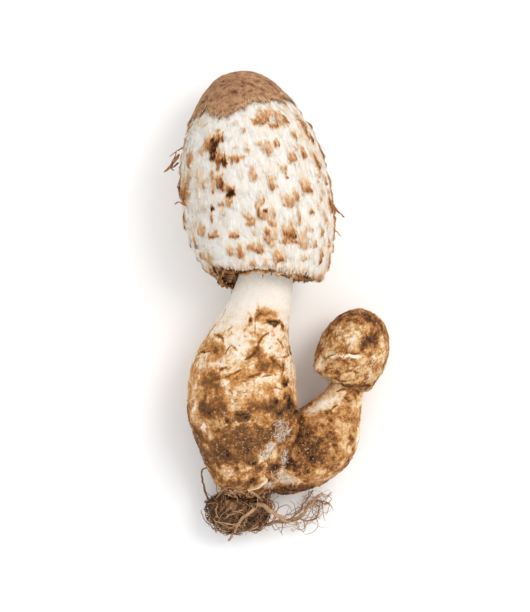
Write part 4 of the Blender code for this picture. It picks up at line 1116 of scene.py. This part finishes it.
youngCap = {
    "voxel": 0.5,
    "spots": [
        (350, 312, 9.0, 2.0, 0.24), (368, 318, 5.0, 2.4, 0.24), (379, 330, 3.0, 4.0, 0.2), (372, 325, 2.6, 2.6, 0.16),
        (368, 338, 3.0, 3.4, 0.12), (362, 346, 3.0, 2.4, 0.18), (372, 345, 3.0, 3.6, 0.08), (352, 353, 4.0, 1.2, 0.2),
        (334, 322, 3.4, 2.4, 0.14), (346, 340, 4.6, 3.0, -0.2), (332, 350, 3.0, 2.6, -0.14), (350, 328, 4.0, 2.0, -0.1),
        (358, 333, 1.6, 1.4, -0.2), (323, 364, 2.6, 1.6, -0.4), (332, 366, 2.4, 1.4, -0.3), (328, 334, 2.4, 5.0, 0.06),
        (337, 356, 3.6, 0.6, -0.5), (352, 356, 3.6, 0.6, -0.6), (378, 357, 2.0, 0.5, -0.3), (342, 362, 2.6, 1.2, 0.2),
        (336, 372, 4.0, 2.0, 0.2), (360, 366, 3.0, 1.4, -0.1), (372, 368, 3.0, 2.6, -0.06), (350, 386, 4.4, 1.4, 0.28),
        (362, 388, 3.0, 1.4, 0.1), (370, 390, 2.0, 1.0, 0.3), (325, 371, 2.2, 1.0, 0.26), (384, 346, 1.2, 4.0, -0.2),
        (349, 369, 3.0, 0.5, -0.2), (356, 377, 3.6, 1.6, 0.1), (343, 378, 3.0, 1.2, -0.08), (387, 336, 1.0, 3.0, 0.2),
    ],
    "edges": [(0.3, (325, 358), (332, 355), (338, 354)), (0.35, (344, 353), (353, 354), (362, 353)),
              (0.4, (318, 369), (326, 370), (334, 368)), (0.3, (340, 374), (350, 371), (360, 373)),
              (0.3, (330, 378), (342, 381), (354, 380))],
    "strands": 1500,
}


def makeYoungStem():
    say("young stem")
    points, quads, normals = skinOf("young_stem", youngStem["voxel"], 5)
    surface = surfaceOf(points, quads)
    row = rowOf(points)
    warp = np.stack([lumps(points, 2.6, 3, s, (1, 1, 1), 0.6) for s in (2.0, 6.0, 8.0)], -1)
    patches = mottled(points, 5.5, 8.2)
    stain = np.interp(row + 6 * warp[:, 1], youngStem["rows"], youngStem["stain"]) + 0.6 * patches
    stain = np.maximum(stain, 0.32 + 0.12 * lumps(points, 2.0, 3, 5.0, (1, 1, 1), 0.5))
    stain += spotField(points + 1.1 * warp, surface, youngStem["spots"])
    line, flap = edgeField(points + 0.3 * warp, surface, youngStem["edges"])
    stain = np.clip(stain, 0.02, 1)
    soiled = easeStep(0.6, 0.7, stain)
    grains = lumps(points, 1.0, 3, 6.0, (1, 1, 1), 0.5)
    # the dark line along each torn edge: partly the rim's own brown, partly painted shadow cast by the flap
    stain = stain * (1 - line) + np.maximum(stain, 0.75) * line - 0.1 * flap * (1 - line) + 0.14 * soiled * grains
    relief = 0.3 * lumps(points, 4.2, 3, 1.0) + 0.08 * lumps(points, 0.9, 2, 3.0) - 0.2 * patches * (1 - soiled)
    relief += soiled * (0.12 + 0.26 * grains) + 0.4 * flap - 0.35 * line
    points = points + normals * relief[:, None]
    points[:, 2] = np.maximum(points[:, 2], 0.02)
    makePiece("youngStemFlesh", points, quads, noTris, youngFinish(), "young_flesh", {"stain": np.clip(stain, 0, 1)},
              ["young_stem"])
    return surface


# The seam between the stems, grown over: pixels along it, half width in mm, how far it bulges
seam = {
    "route": [(297, 407, 1.6, 0.4), (295, 418, 2.4, 0.6), (291, 430, 3.0, 0.7), (286, 442, 3.4, 0.8),
              (280, 454, 3.8, 0.9), (276, 466, 3.8, 0.8), (273, 478, 3.4, 0.6), (270, 489, 2.4, 0.3)],
    "sides": 48,
    "stations": 150,
    "spots": [
        (268, 452, 3.0, 3.2, -0.42), (273, 445, 2.6, 2.4, -0.36), (281, 428, 2.4, 4.0, -0.06), (290, 424, 2.0, 4.0, -0.04),
        (274, 466, 2.1, 1.9, 0.32), (288, 460, 2.4, 2.4, 0.3), (282, 472, 2.4, 1.8, -0.3), (278, 481, 3.0, 1.6, -0.26),
        (296, 412, 1.6, 3.0, 0.3), (281, 450, 1.6, 3.4, 0.1),
    ],
}


def makeSeam(stemSurface, youngSurface):
    say("seam")
    knots = []
    for px, py, half, bulge in seam["route"]:
        step = half / picture["mmPerPixel"]
        left, right = seenOn(stemSurface, px - step, py)[0], seenOn(youngSurface, px + step, py)[0]
        knots.append([*((left + right) / 2), *((right - left) / 2), bulge])
    curve = smoothCurve(knots, seam["stations"])
    middle, across, bulge = curve[:, None, :3], curve[:, None, 3:6], curve[:, None, 6:]
    ends = np.sin(np.pi * np.linspace(0.02, 0.98, seam["stations"])) ** 0.3
    turn = np.linspace(0, fullTurn, seam["sides"], endpoint=False)[None, :, None]
    up = np.array((0, 0, 1.0))
    body = middle + ends[:, None, None] * (across * 1.12 * np.cos(turn) + up * np.sin(turn) * (bulge + 1.2))
    points = body.reshape(-1, 3) - (0, 0, 0.8)
    rough = 0.42 * lumps(points, 3.0, 3, 2.0) + 0.26 * lumps(points, 1.1, 3, 6.0, (1, 1, 1), 0.5)
    points[:, 2] += rough * np.repeat(ends, seam["sides"])
    surface = surfaceOf(points, ringFaces(seam["stations"], seam["sides"]))
    stain = 0.6 + 0.5 * mottled(points, 3.4, 6.6) + spotField(points, surface, seam["spots"])
    poles = np.array([points[:seam["sides"]].mean(0), points[-seam["sides"]:].mean(0)])
    count = len(points)
    tris = np.concatenate([
        poleFaces(0, seam["sides"], count, True), poleFaces(count - seam["sides"], seam["sides"], count + 1, False),
    ])
    makePiece("seamFlesh", np.concatenate([points, poles]), ringFaces(seam["stations"], seam["sides"]), tris,
              bpy.data.materials["bruisedYoungSkin"], "young_flesh",
              {"stain": np.concatenate([np.clip(stain, 0.1, 1), [0.7, 0.7]])})
    return surface


def surfaceStrands(surface, roots, headings, length, width, rise, tone, rng, stations=5):
    # short strands that follow any surface from their roots in their headings
    paths, ups = np.empty((len(roots), stations, 3)), np.empty((len(roots), stations, 3))
    for i, (root, heading) in enumerate(zip(roots, headings)):
        place = Vector(root)
        for k in range(stations):
            share = k / (stations - 1)
            found, normal, _, _ = surface.find_nearest(place)
            paths[i, k] = found + normal * (0.05 + rise[i] * share**2)
            ups[i, k] = normal
            heading = (heading - normal * heading.dot(normal)).normalized()
            place = found + heading * (length[i] / (stations - 1))
    t = np.linspace(0, 1, stations)[None, :]
    widths = width[:, None] * np.sin(np.pi * (0.14 + 0.78 * t)) ** 0.7
    return strandArrays(paths, ups, widths, {"stain": tone[:, None] + 0 * t})


def makeYoungCap(rng):
    say("young cap")
    points, quads, normals = skinOf("young_cap", youngCap["voxel"], 4)
    surface = surfaceOf(points, quads)
    warp = np.stack([lumps(points, 2.2, 3, s, (1, 1, 1), 0.6) for s in (3.0, 7.0, 5.0)], -1)
    patches = mottled(points, 4.5, 2.9)
    stain = np.maximum(0.45 + 0.68 * patches, 0.28 + 0.1 * lumps(points, 2.0, 3, 5.0, (1, 1, 1), 0.5))
    stain += spotField(points + 0.9 * warp, surface, youngCap["spots"])
    line, flap = edgeField(points + 0.25 * warp, surface, youngCap["edges"])
    lower = easeStep(345, 365, rowOf(points))
    # the dark line along each torn edge: partly the rim's own brown, partly painted shadow cast by the flap
    stain = np.clip(stain * (1 - line) + np.maximum(stain, 0.7) * line - 0.12 * flap * (1 - line), 0.02, 1)
    relief = 0.24 * lumps(points, 3.6, 3, 1.0) + 0.1 * lumps(points, 0.9, 2, 3.0) - 0.2 * patches
    relief += lower * 0.16 * lumps(points, 1.4, 3, 7.0, (1, 1, 1), 0.5) + 0.4 * flap - 0.3 * line
    points = points + normals * relief[:, None]
    finish = bpy.data.materials["bruisedYoungSkin"]
    makePiece("youngCapSkin", points, quads, noTris, finish, "young_skin", {"stain": stain}, ["young_cap"])
    # short fibres of its own shag
    picks = [rng.randrange(len(points)) for _ in range(youngCap["strands"])]
    lean = math.radians(-22.7)
    rimwards = Vector((math.sin(lean), -math.cos(lean), 0))
    headings = [(rimwards + Vector((rng.gauss(0, 0.35), rng.gauss(0, 0.2), rng.gauss(0, 0.3)))).normalized()
                for _ in picks]
    size = len(picks)
    length = np.array([rng.uniform(0.9, 2.6) for _ in range(size)])
    width = np.array([rng.uniform(0.14, 0.3) for _ in range(size)])
    rise = np.array([abs(rng.gauss(0, 0.12)) for _ in range(size)]) * (0.4 + lower[picks])
    tone = np.clip(stain[picks] + np.array([rng.gauss(-0.01, 0.08) for _ in picks]), 0, 1)
    fresh = surfaceOf(points, quads)
    fuzz = surfaceStrands(fresh, points[picks], headings, length, width, rise, tone, rng)
    makePiece("youngCapFibres", *fuzz[:3], finish, "young_skin", fuzz[3])
    return surface


# Roots: from one knot at the foot, as the solids run. Points, then the radius at each end
knot = (-10.62, -76.36, 14.6)
rootRoutes = [
    ([knot, (-6.4, -75.3, 20), (-2.8, -77.0, 21.5), (-0.6, -78.8, 20), (2.4, -81.0, 16), (5.1, -82.2, 12),
      (8.9, -81.1, 8.5), (13.5, -76.2, 6.5), (16.0, -72.8, 6)], 1.05, 0.5, 0.22),
    ([(5.1, -82.2, 12), (-0.6, -83.3, 7.5), (-10.1, -85.4, 4.5), (-16.7, -87.9, 3)], 0.75, 0.55, 0.3),
    ([knot, (-8.6, -76.6, 22.6), (-12.8, -79.6, 23.2), (-15.0, -83.6, 20.4), (-16.8, -87.4, 12.5), (-18.4, -90.4, 3.5)],
     0.62, 0.45, 0.25),
    ([knot, (-17.8, -76.4, 13), (-25.2, -74.8, 12), (-27.6, -70.4, 12.5), (-28.6, -66.0, 14), (-28.8, -63.0, 15.5),
      (-27.4, -61.4, 16.5), (-25.2, -61.4, 17.5), (-23.6, -62.8, 18)], 0.5, 0.24, 0.6),
    ([knot, (-19.8, -78, 9), (-23.8, -77, 6.5), (-27.6, -75.6, 5)], 1.0, 0.6, 0.5),
    ([(13.5, -76.2, 6.5), (17.2, -74.8, 5), (20.5, -76.4, 3.2)], 0.4, 0.2, 0.4),
    ([(5.1, -82.2, 12), (8.7, -78.9, 9), (11.7, -74.6, 5), (14.4, -71.2, 3.4)], 0.42, 0.25, 0.4),
    ([(8.9, -81.1, 8.5), (12.7, -82.8, 5.5), (16.0, -80.8, 3.4), (16.8, -77.4, 2.2)], 0.42, 0.25, 0.4),
    ([(-19.8, -78, 9), (-24.4, -81.1, 6), (-20.4, -85.8, 4), (-14.1, -86.8, 3.4)], 0.45, 0.3, 0.55),
    ([knot, (-13.8, -77.4, 20.6), (-18.8, -79.6, 19.4), (-22.2, -83.6, 12), (-20.4, -85.8, 4)], 0.5, 0.3, 0.3),
]
# Thin roots that lie over the foot and the clod, in pixels of the photograph: radii in mm, tone, path
footRoots = [
    (0.4, 0.6, 0.2, (262, 482), (256, 487), (249, 490), (256, 495), (262, 501)),
    (0.3, 0.22, 0.3, (223, 512), (221, 504), (223, 496), (230, 493), (238, 491), (245, 493)),
    (0.34, 0.2, 0.4, (215, 500), (218, 492), (226, 488), (236, 489), (244, 488)),
    (0.3, 0.2, 0.25, (252, 511), (258, 506), (259, 500), (256, 494)),
    (0.26, 0.16, 0.35, (231, 505), (228, 499), (231, 493), (236, 496), (238, 503)),
    (0.24, 0.16, 0.3, (268, 478), (272, 487), (272, 494), (270, 500)),
    (0.2, 0.14, 0.15, (267, 487), (273, 487), (279, 488)),
    (0.26, 0.16, 0.45, (246, 515), (249, 507), (244, 500), (247, 493)),
    (0.22, 0.14, 0.5, (212, 506), (217, 499), (220, 490), (216, 484)),
]
rootTangle = {
    "fine": 120,
    "length": (4, 14),        # mm
    "radius": (0.07, 0.22),
    "bearing": (0, 0, 0, 1, 1, 2, 4, 5, 6, 7, 8, 9),      # the routes that the fine ones grow from
    "clodHairs": 190,         # short ones wound over the clod
    "clod": ((-14.0, -77.6, 11.2), (12.4, 8.8, 10.2)),
}


def makeRoots(surfaces, rng):
    say("roots")
    routes, tones = [], []
    for points, thick, thin, tone in rootRoutes:
        route = smoothCurve(points, 9 * len(points))
        wobble = np.stack([lumps(route, 3.0, 2, s) for s in (1.0, 4.0, 7.0)], -1) * 0.5
        radii = np.linspace(thick, thin, len(route)) * (1 + 0.22 * lumps(route, 1.6, 2, 2.0))
        routes.append((route + wobble, radii))
        tones.append(tone)
    for k in range(rootTangle["fine"]):
        parent = routes[rng.choice(rootTangle["bearing"])][0]
        start = Vector(parent[rng.randrange(len(parent) // 4, len(parent))])
        length = rng.uniform(*rootTangle["length"])
        heading = Vector((rng.gauss(0.2, 0.9), rng.gauss(-0.05, 0.6), rng.gauss(-0.15, 0.3))).normalized()
        curl = Matrix.Rotation(rng.uniform(-0.3, 0.3), 3, Vector((rng.gauss(0, 0.4), rng.gauss(0, 0.4), 1)))
        steps = max(8, int(length * 1.6))
        spots = [start.copy()]
        for _ in range(steps):
            heading = curl @ heading
            heading = (heading + Vector((rng.gauss(0, 0.2), rng.gauss(0, 0.2), rng.gauss(-0.03, 0.14)))).normalized()
            ahead = spots[-1] + heading * 2.5
            if not -29 < ahead.x < 23:
                heading.x *= -0.7
            if not -89 < ahead.y < -70:
                heading.y *= -0.7
            if not 0.6 < ahead.z < 21:
                heading.z *= -0.5
            spot = spots[-1] + heading * (length / steps)
            spot.z = max(spot.z, 0.4)
            spots.append(spot)
        thick = rng.uniform(*rootTangle["radius"])
        routes.append((np.array(spots), np.linspace(thick, thick * 0.45, len(spots))))
        tones.append(rng.uniform(0.1, 0.65))
    middle, radii = (np.array(v) for v in rootTangle["clod"])
    for _ in range(rootTangle["clodHairs"]):
        side = Vector((rng.gauss(0, 1), rng.gauss(-0.3, 1), rng.gauss(0.3, 1))).normalized()
        heading = Vector((rng.gauss(0, 1), rng.gauss(0, 1), rng.gauss(0, 1)))
        pace, lift, spots = rng.uniform(0.05, 0.14), rng.uniform(0.93, 1.06), []
        for _ in range(16):
            spots.append(middle + np.array(side) * radii * lift * (1 + 0.16 * noise.noise(side * 1.7)))
            heading = heading - side * heading.dot(side) + Vector((rng.gauss(0, 0.5), rng.gauss(0, 0.5), 0))
            side = (side + heading.normalized() * pace).normalized()
            lift += rng.gauss(0, 0.022)
        spots = np.array(spots)
        spots[:, 2] = np.maximum(spots[:, 2], 0.5)
        thick = rng.uniform(*rootTangle["radius"]) * 1.5
        if spots[:, 1].max() < -70.5:
            routes.append((spots, np.linspace(thick, thick * 0.5, len(spots))))
            tones.append(rng.uniform(0.05, 0.95))
    for thick, thin, tone, *pixels in footRoots:
        spots = []
        for px, py in pixels:
            eye, ray = lineOfSight(px, py)
            hits = [surface.ray_cast(eye, ray)[0] for surface in surfaces]
            hits = [hit for hit in hits if hit is not None]
            if hits:
                spots.append(tuple(max(hits, key=lambda hit: hit.z) + Vector((0, 0, 0.35))))
        route = smoothCurve(spots, 6 * len(spots))
        routes.append((route + 0.25 * lumps(route, 2.0, 2, 3.0)[:, None], np.linspace(thick, thin, len(route))))
        tones.append(tone)
    points, quads, tris, tone = tubeArrays(routes, 6, tones)
    tone = np.clip(tone + 0.16 * lumps(points, 2.2, 2, 5.0), 0, 1)
    makePiece("rootTangle", points, quads, tris, rootFinish(), "root", {"stain": tone}, ["roots"])


def makeSoil():
    say("soil")
    points, quads, normals = skinOf("soil_clod", 0.5, 2)
    pores = lumps(points, 2.6, 3, 3.0)
    relief = 0.9 * pores + 0.5 * lumps(points, 1.1, 2, 6.0) - 0.5 + 1.4 * lumps(points, 7.0, 1, 9.0)
    border, _ = cells(points, 2.0, 4.0)
    relief += 0.5 * (border - 0.4)
    # painted shade: darker where the pores and the cell borders sink the surface
    stain = np.clip(0.55 - 0.45 * pores - 0.25 * (border - 0.5), 0, 1)
    points = points + normals * relief[:, None]
    points[:, 2] = np.maximum(points[:, 2], 0.1)
    makePiece("soilClod", points, quads, noTris, soilFinish(), "soil", {"stain": stain}, ["soil_clod"])
    return surfaceOf(points, quads)


crumbs = {
    "stem": 700, "youngStem": 160, "youngCap": 60, "clod": 420, "cap": 90, "size": (0.16, 0.52),
    # soil packed in the hollow between the foot, the clod and the young one
    "hollow": 160, "hollowAt": (-4.6, -70.4, 9.0), "hollowSpread": (1.7, 1.3, 3.2), "hollowSize": (0.5, 1.3),
    # and smeared over the foot's rim
    "rim": 130, "rimAt": (238, 492), "rimSpread": (15, 2.6),
}


def ballShape():
    # an eight-sided crumb refined once: points on a unit ball and its faces
    corners = [(1, 0, 0), (-1, 0, 0), (0, 1, 0), (0, -1, 0), (0, 0, 1), (0, 0, -1)]
    faces = [(0, 2, 4), (2, 1, 4), (1, 3, 4), (3, 0, 4), (2, 0, 5), (1, 2, 5), (3, 1, 5), (0, 3, 5)]
    points, found, split = [np.array(c, float) for c in corners], {}, []

    def middle(a, b):
        key = (min(a, b), max(a, b))
        if key not in found:
            spot = points[a] + points[b]
            points.append(spot / np.linalg.norm(spot))
            found[key] = len(points) - 1
        return found[key]

    for a, b, c in faces:
        ab, bc, ca = middle(a, b), middle(b, c), middle(c, a)
        split += [(a, ab, ca), (ab, b, bc), (ca, bc, c), (ab, bc, ca)]
    return np.array(points), np.array(split)


def scatterCrumbs(places, rng):
    # earth crumbs sunk a little into what they lie on: places of (point, normal, size)
    unit, faces = ballShape()
    points, tris, stain = [], [], []
    for k, (place, normal, size) in enumerate(places):
        squash = np.array([rng.uniform(0.45, 1.25) for _ in range(3)])
        bumps = np.array([1 + rng.uniform(-0.4, 0.4) for _ in unit])[:, None]
        points.append(unit * bumps * squash * size + np.array(place) + np.array(normal) * size * 0.35)
        tris.append(faces + k * len(unit))
        stain.append(np.full(len(unit), rng.uniform(-0.15, 0.4)))
    return np.concatenate(points), np.concatenate(tris), np.concatenate(stain)


def makeCrumbs(stemSurface, youngSurface, youngCapSurface, clodSurface, capSurface, rng):
    say("crumbs")
    places = []

    def drop(surface, px, py, size):
        eye, ray = lineOfSight(px, py)
        place, normal, _, _ = surface.ray_cast(eye, ray)
        if place is not None:
            places.append((place, normal, size))

    def size():
        return rng.uniform(*crumbs["size"]) * rng.uniform(0.5, 1)

    for _ in range(crumbs["stem"]):
        drop(stemSurface, rng.gauss(240, 28), rng.gauss(436, 26), size())
    for _ in range(crumbs["stem"] // 10):
        drop(stemSurface, rng.uniform(205, 295), rng.uniform(325, 420), size() * 0.7)
    for _ in range(crumbs["youngStem"]):
        drop(youngSurface, rng.gauss(315, 18), rng.gauss(448, 16), size())
    for _ in range(crumbs["youngCap"]):
        drop(youngCapSurface, rng.uniform(320, 388), rng.uniform(312, 388), size() * 0.7)
    for _ in range(crumbs["cap"]):
        drop(capSurface, rng.uniform(185, 330), rng.uniform(110, 265), size() * 0.6)
    for surface, number, middle in (
        (stemSurface, 500, (-13, -50, 20)), (youngSurface, 160, (14, -54, 14)), (clodSurface, crumbs["clod"], (-14, -78, 11)),
    ):
        for _ in range(number):
            heading = Vector((rng.gauss(0, 1), rng.gauss(0, 0.5), rng.gauss(0, 1))).normalized()
            spot = Vector(middle) + Vector((0, rng.uniform(-14, 10) if number > 160 else rng.uniform(-6, 6), 0))
            place, normal, _, _ = surface.ray_cast(spot + heading * 60, -heading)
            if place is not None and place.z > 0.6 and abs(place.y - spot.y) < 20:
                places.append((place, normal, size()))
    for _ in range(crumbs["rim"]):
        drop(stemSurface, rng.gauss(crumbs["rimAt"][0], crumbs["rimSpread"][0]),
             rng.gauss(crumbs["rimAt"][1], crumbs["rimSpread"][1]), size() * 1.3)
    for _ in range(crumbs["hollow"]):
        spot = [rng.gauss(middle, spread) for middle, spread in zip(crumbs["hollowAt"], crumbs["hollowSpread"])]
        places.append((spot, (0, 0, 1), rng.uniform(*crumbs["hollowSize"])))
    points, tris, stain = scatterCrumbs(places, rng)
    points[:, 2] = np.maximum(points[:, 2], 0.02)
    makePiece("soilCrumbs", points, np.zeros((0, 4), int), tris, bpy.data.materials["dampLoam"], "soil",
              {"stain": stain})


mould = {
    "pads": [(280, 424, 4, 3), (284, 431, 4, 4), (279, 437, 4, 4), (270, 447, 3.4, 3), (265, 454, 3.4, 2.4), (282, 475, 5, 3),
             (290, 480, 5, 2.4), (284, 458, 2, 6), (268, 484, 4, 2)],
    "strands": 800,
    "width": (0.06, 0.12),
}


def makeMould(surfaces, rng):
    say("mould")
    roots, headings = [], []
    for _ in range(mould["strands"]):
        px, py, wide, high = rng.choice(mould["pads"])
        eye, ray = lineOfSight(rng.gauss(px, wide * 0.8), rng.gauss(py, high * 0.8))
        hits = [s.ray_cast(eye, ray)[0] for s in surfaces]
        hits = [h for h in hits if h is not None]
        if hits:
            roots.append(np.array(max(hits, key=lambda h: h.z)))
            headings.append(Vector((rng.gauss(0, 1), rng.gauss(0, 1), 0)).normalized())
    size = len(roots)
    t = np.linspace(0, 1, 6)[None, :, None]
    length = np.array([rng.uniform(0.8, 3.4) for _ in range(size)])
    run = np.array([list(h) for h in headings]) * length[:, None]
    bow = np.array([rng.uniform(0.1, 0.6) for _ in range(size)])
    start = np.array(roots) + (0, 0, 0.1) - run / 2
    paths = start[:, None] + run[:, None] * t
    paths[:, :, 2] += bow[:, None] * np.sin(np.pi * t[:, :, 0]) * 0.8
    ups = np.broadcast_to(np.array((0, 0, 1.0)), paths.shape)
    widths = np.array([rng.uniform(*mould["width"]) for _ in range(size)])[:, None] * np.sin(
        np.pi * (0.1 + 0.8 * t[:, :, 0]))
    stain = np.array([rng.uniform(0.0, 0.85) for _ in range(size)])[:, None] + 0 * widths
    threads = strandArrays(paths, ups, widths, {"stain": stain})
    makePiece("mouldThreads", *threads[:3], mouldFinish(), "stem_flesh", threads[3])


# Frayed threads that stand off the cap's sides: pixels with their height above the table in mm
wisps = [
    ([(182, 148, 27), (178, 150, 28), (175, 153, 29), (170, 156, 29)], 0.25, 0.8),
    ([(179, 155, 28), (175, 160, 29), (171, 165, 29.5), (167, 170, 29), (164, 172, 29)], 0.6, 0.7),
    ([(178, 163, 28), (175, 166, 28.5), (171, 168, 28), (174, 170, 28)], 0.35, 0.75),
    ([(176, 152, 28), (173, 160, 28), (169, 166, 29)], 0.2, 0.75),
    ([(326, 196, 30), (332, 204, 31), (337, 210, 31), (344, 217, 30.5)], 0.5, 0.7),
    ([(330, 198, 30), (334, 206, 31), (338, 213, 31)], 0.35, 0.6),
    ([(332, 226, 30), (337, 232, 30), (341, 236, 30)], 0.35, 0.5),
    ([(178, 186, 27), (180, 197, 28), (185, 203, 29), (193, 205, 31.4)], 0.26, 0.8),
    ([(185, 205, 31), (178, 202, 28), (175, 204, 28)], 0.35, 0.7),
]


def makeWisps():
    say("frayed threads")
    routes, tones = [], []
    for pixels, radius, tone in wisps:
        spots = []
        for px, py, height in pixels:
            eye, ray = lineOfSight(px, py)
            spots.append(tuple(eye + ray * ((eye.z - height) / -ray.z)))
        route = smoothCurve(spots, 22)
        route = route + np.stack([lumps(route, 2.0, 2, s) for s in (1.0, 3.0, 6.0)], -1) * 0.35
        radii = radius * (1 + 0.4 * lumps(route, 1.2, 2, 8.0)) * np.linspace(1.0, 0.5, len(route))
        routes.append((route, radii))
        tones.append(tone)
    points, quads, tris, tone = tubeArrays(routes, 6, tones)
    makePiece("frayedThreads", points, quads, tris, bpy.data.materials["cottonyWhiteThreads"], "white_shag",
              {"stain": np.clip(tone + 0.15 * lumps(points, 1.5, 2, 2.0), 0, 1)})


# The table, the light and the camera

studio = {
    "table": 3000,            # mm across
    "sky": 0.98,
    "keyPower": 3.3,
    "keySize": 420,
    "keyPlace": (430, 250, 780),
}


def makeStudio():
    say("table, light and camera")
    half = studio["table"] / 2
    corners = np.array([(-half, -half, 0), (half, -half, 0), (half, half, 0), (-half, half, 0)]) * mm
    mesh = bpy.data.meshes.new("table")
    mesh.from_pydata(corners.tolist(), [], [(0, 1, 2, 3)])
    finish = bpy.data.materials.new("whitePaper")
    finish.use_nodes = True
    shader = finish.node_tree.nodes["Principled BSDF"]
    shader.inputs["Base Color"].default_value = linear("#fdfdfd")
    shader.inputs["Roughness"].default_value = 0.95
    shader.inputs["Specular IOR Level"].default_value = 0.1
    mesh.materials.append(finish)
    table = bpy.data.objects.new("table", mesh)
    bpy.context.scene.collection.objects.link(table)
    world = bpy.data.worlds.new("studio")
    bpy.context.scene.world = world
    world.use_nodes = True
    sky = world.node_tree.nodes["Background"]
    sky.inputs["Color"].default_value = linear("#fdfeff")
    sky.inputs["Strength"].default_value = studio["sky"]
    lamp = bpy.data.lights.new("key", "AREA")
    lamp.size = studio["keySize"] * mm
    lamp.energy = studio["keyPower"]
    lamp.color = linear("#fffaf4")[:3]
    key = bpy.data.objects.new("key", lamp)
    key.location = Vector(studio["keyPlace"]) * mm
    key.rotation_euler = (-key.location).to_track_quat("-Z", "Y").to_euler()
    bpy.context.scene.collection.objects.link(key)
    camera = bpy.data.cameras.new("camera")
    camera.sensor_fit = "VERTICAL"
    camera.sensor_height = 24
    away = picture["eye"] - picture["sharpAt"]
    camera.lens = camera.sensor_height * away / (picture["height"] * picture["mmPerPixel"])
    camera.clip_end = 10
    seat = bpy.data.objects.new("camera", camera)
    seat.location = Vector((*picture["over"], picture["eye"])) * mm
    bpy.context.scene.collection.objects.link(seat)
    bpy.context.scene.camera = seat


luck = random.Random(12)
makeStudio()
coarseBell = bellPoints(*np.meshgrid(np.linspace(0, fullTurn, 121)[:-1], np.linspace(0, bellLength, 90)))
capSurface = surfaceOf(coarseBell.reshape(-1, 3), ringFaces(90, 120))
crownEdge = crownEdgeOf(capSurface)
makeCap(capSurface, crownEdge, luck)
makeCrown(crownEdge, luck)
makeGills(luck)
makeVeil(luck)
stemSurface = makeStem()
youngSurface = makeYoungStem()
seamSurface = makeSeam(stemSurface, youngSurface)
youngCapSurface = makeYoungCap(luck)
clodSurface = makeSoil()
makeRoots((stemSurface, youngSurface, clodSurface), luck)
makeCrumbs(stemSurface, youngSurface, youngCapSurface, clodSurface, capSurface, luck)
makeMould((stemSurface, youngSurface, seamSurface), luck)
makeWisps()
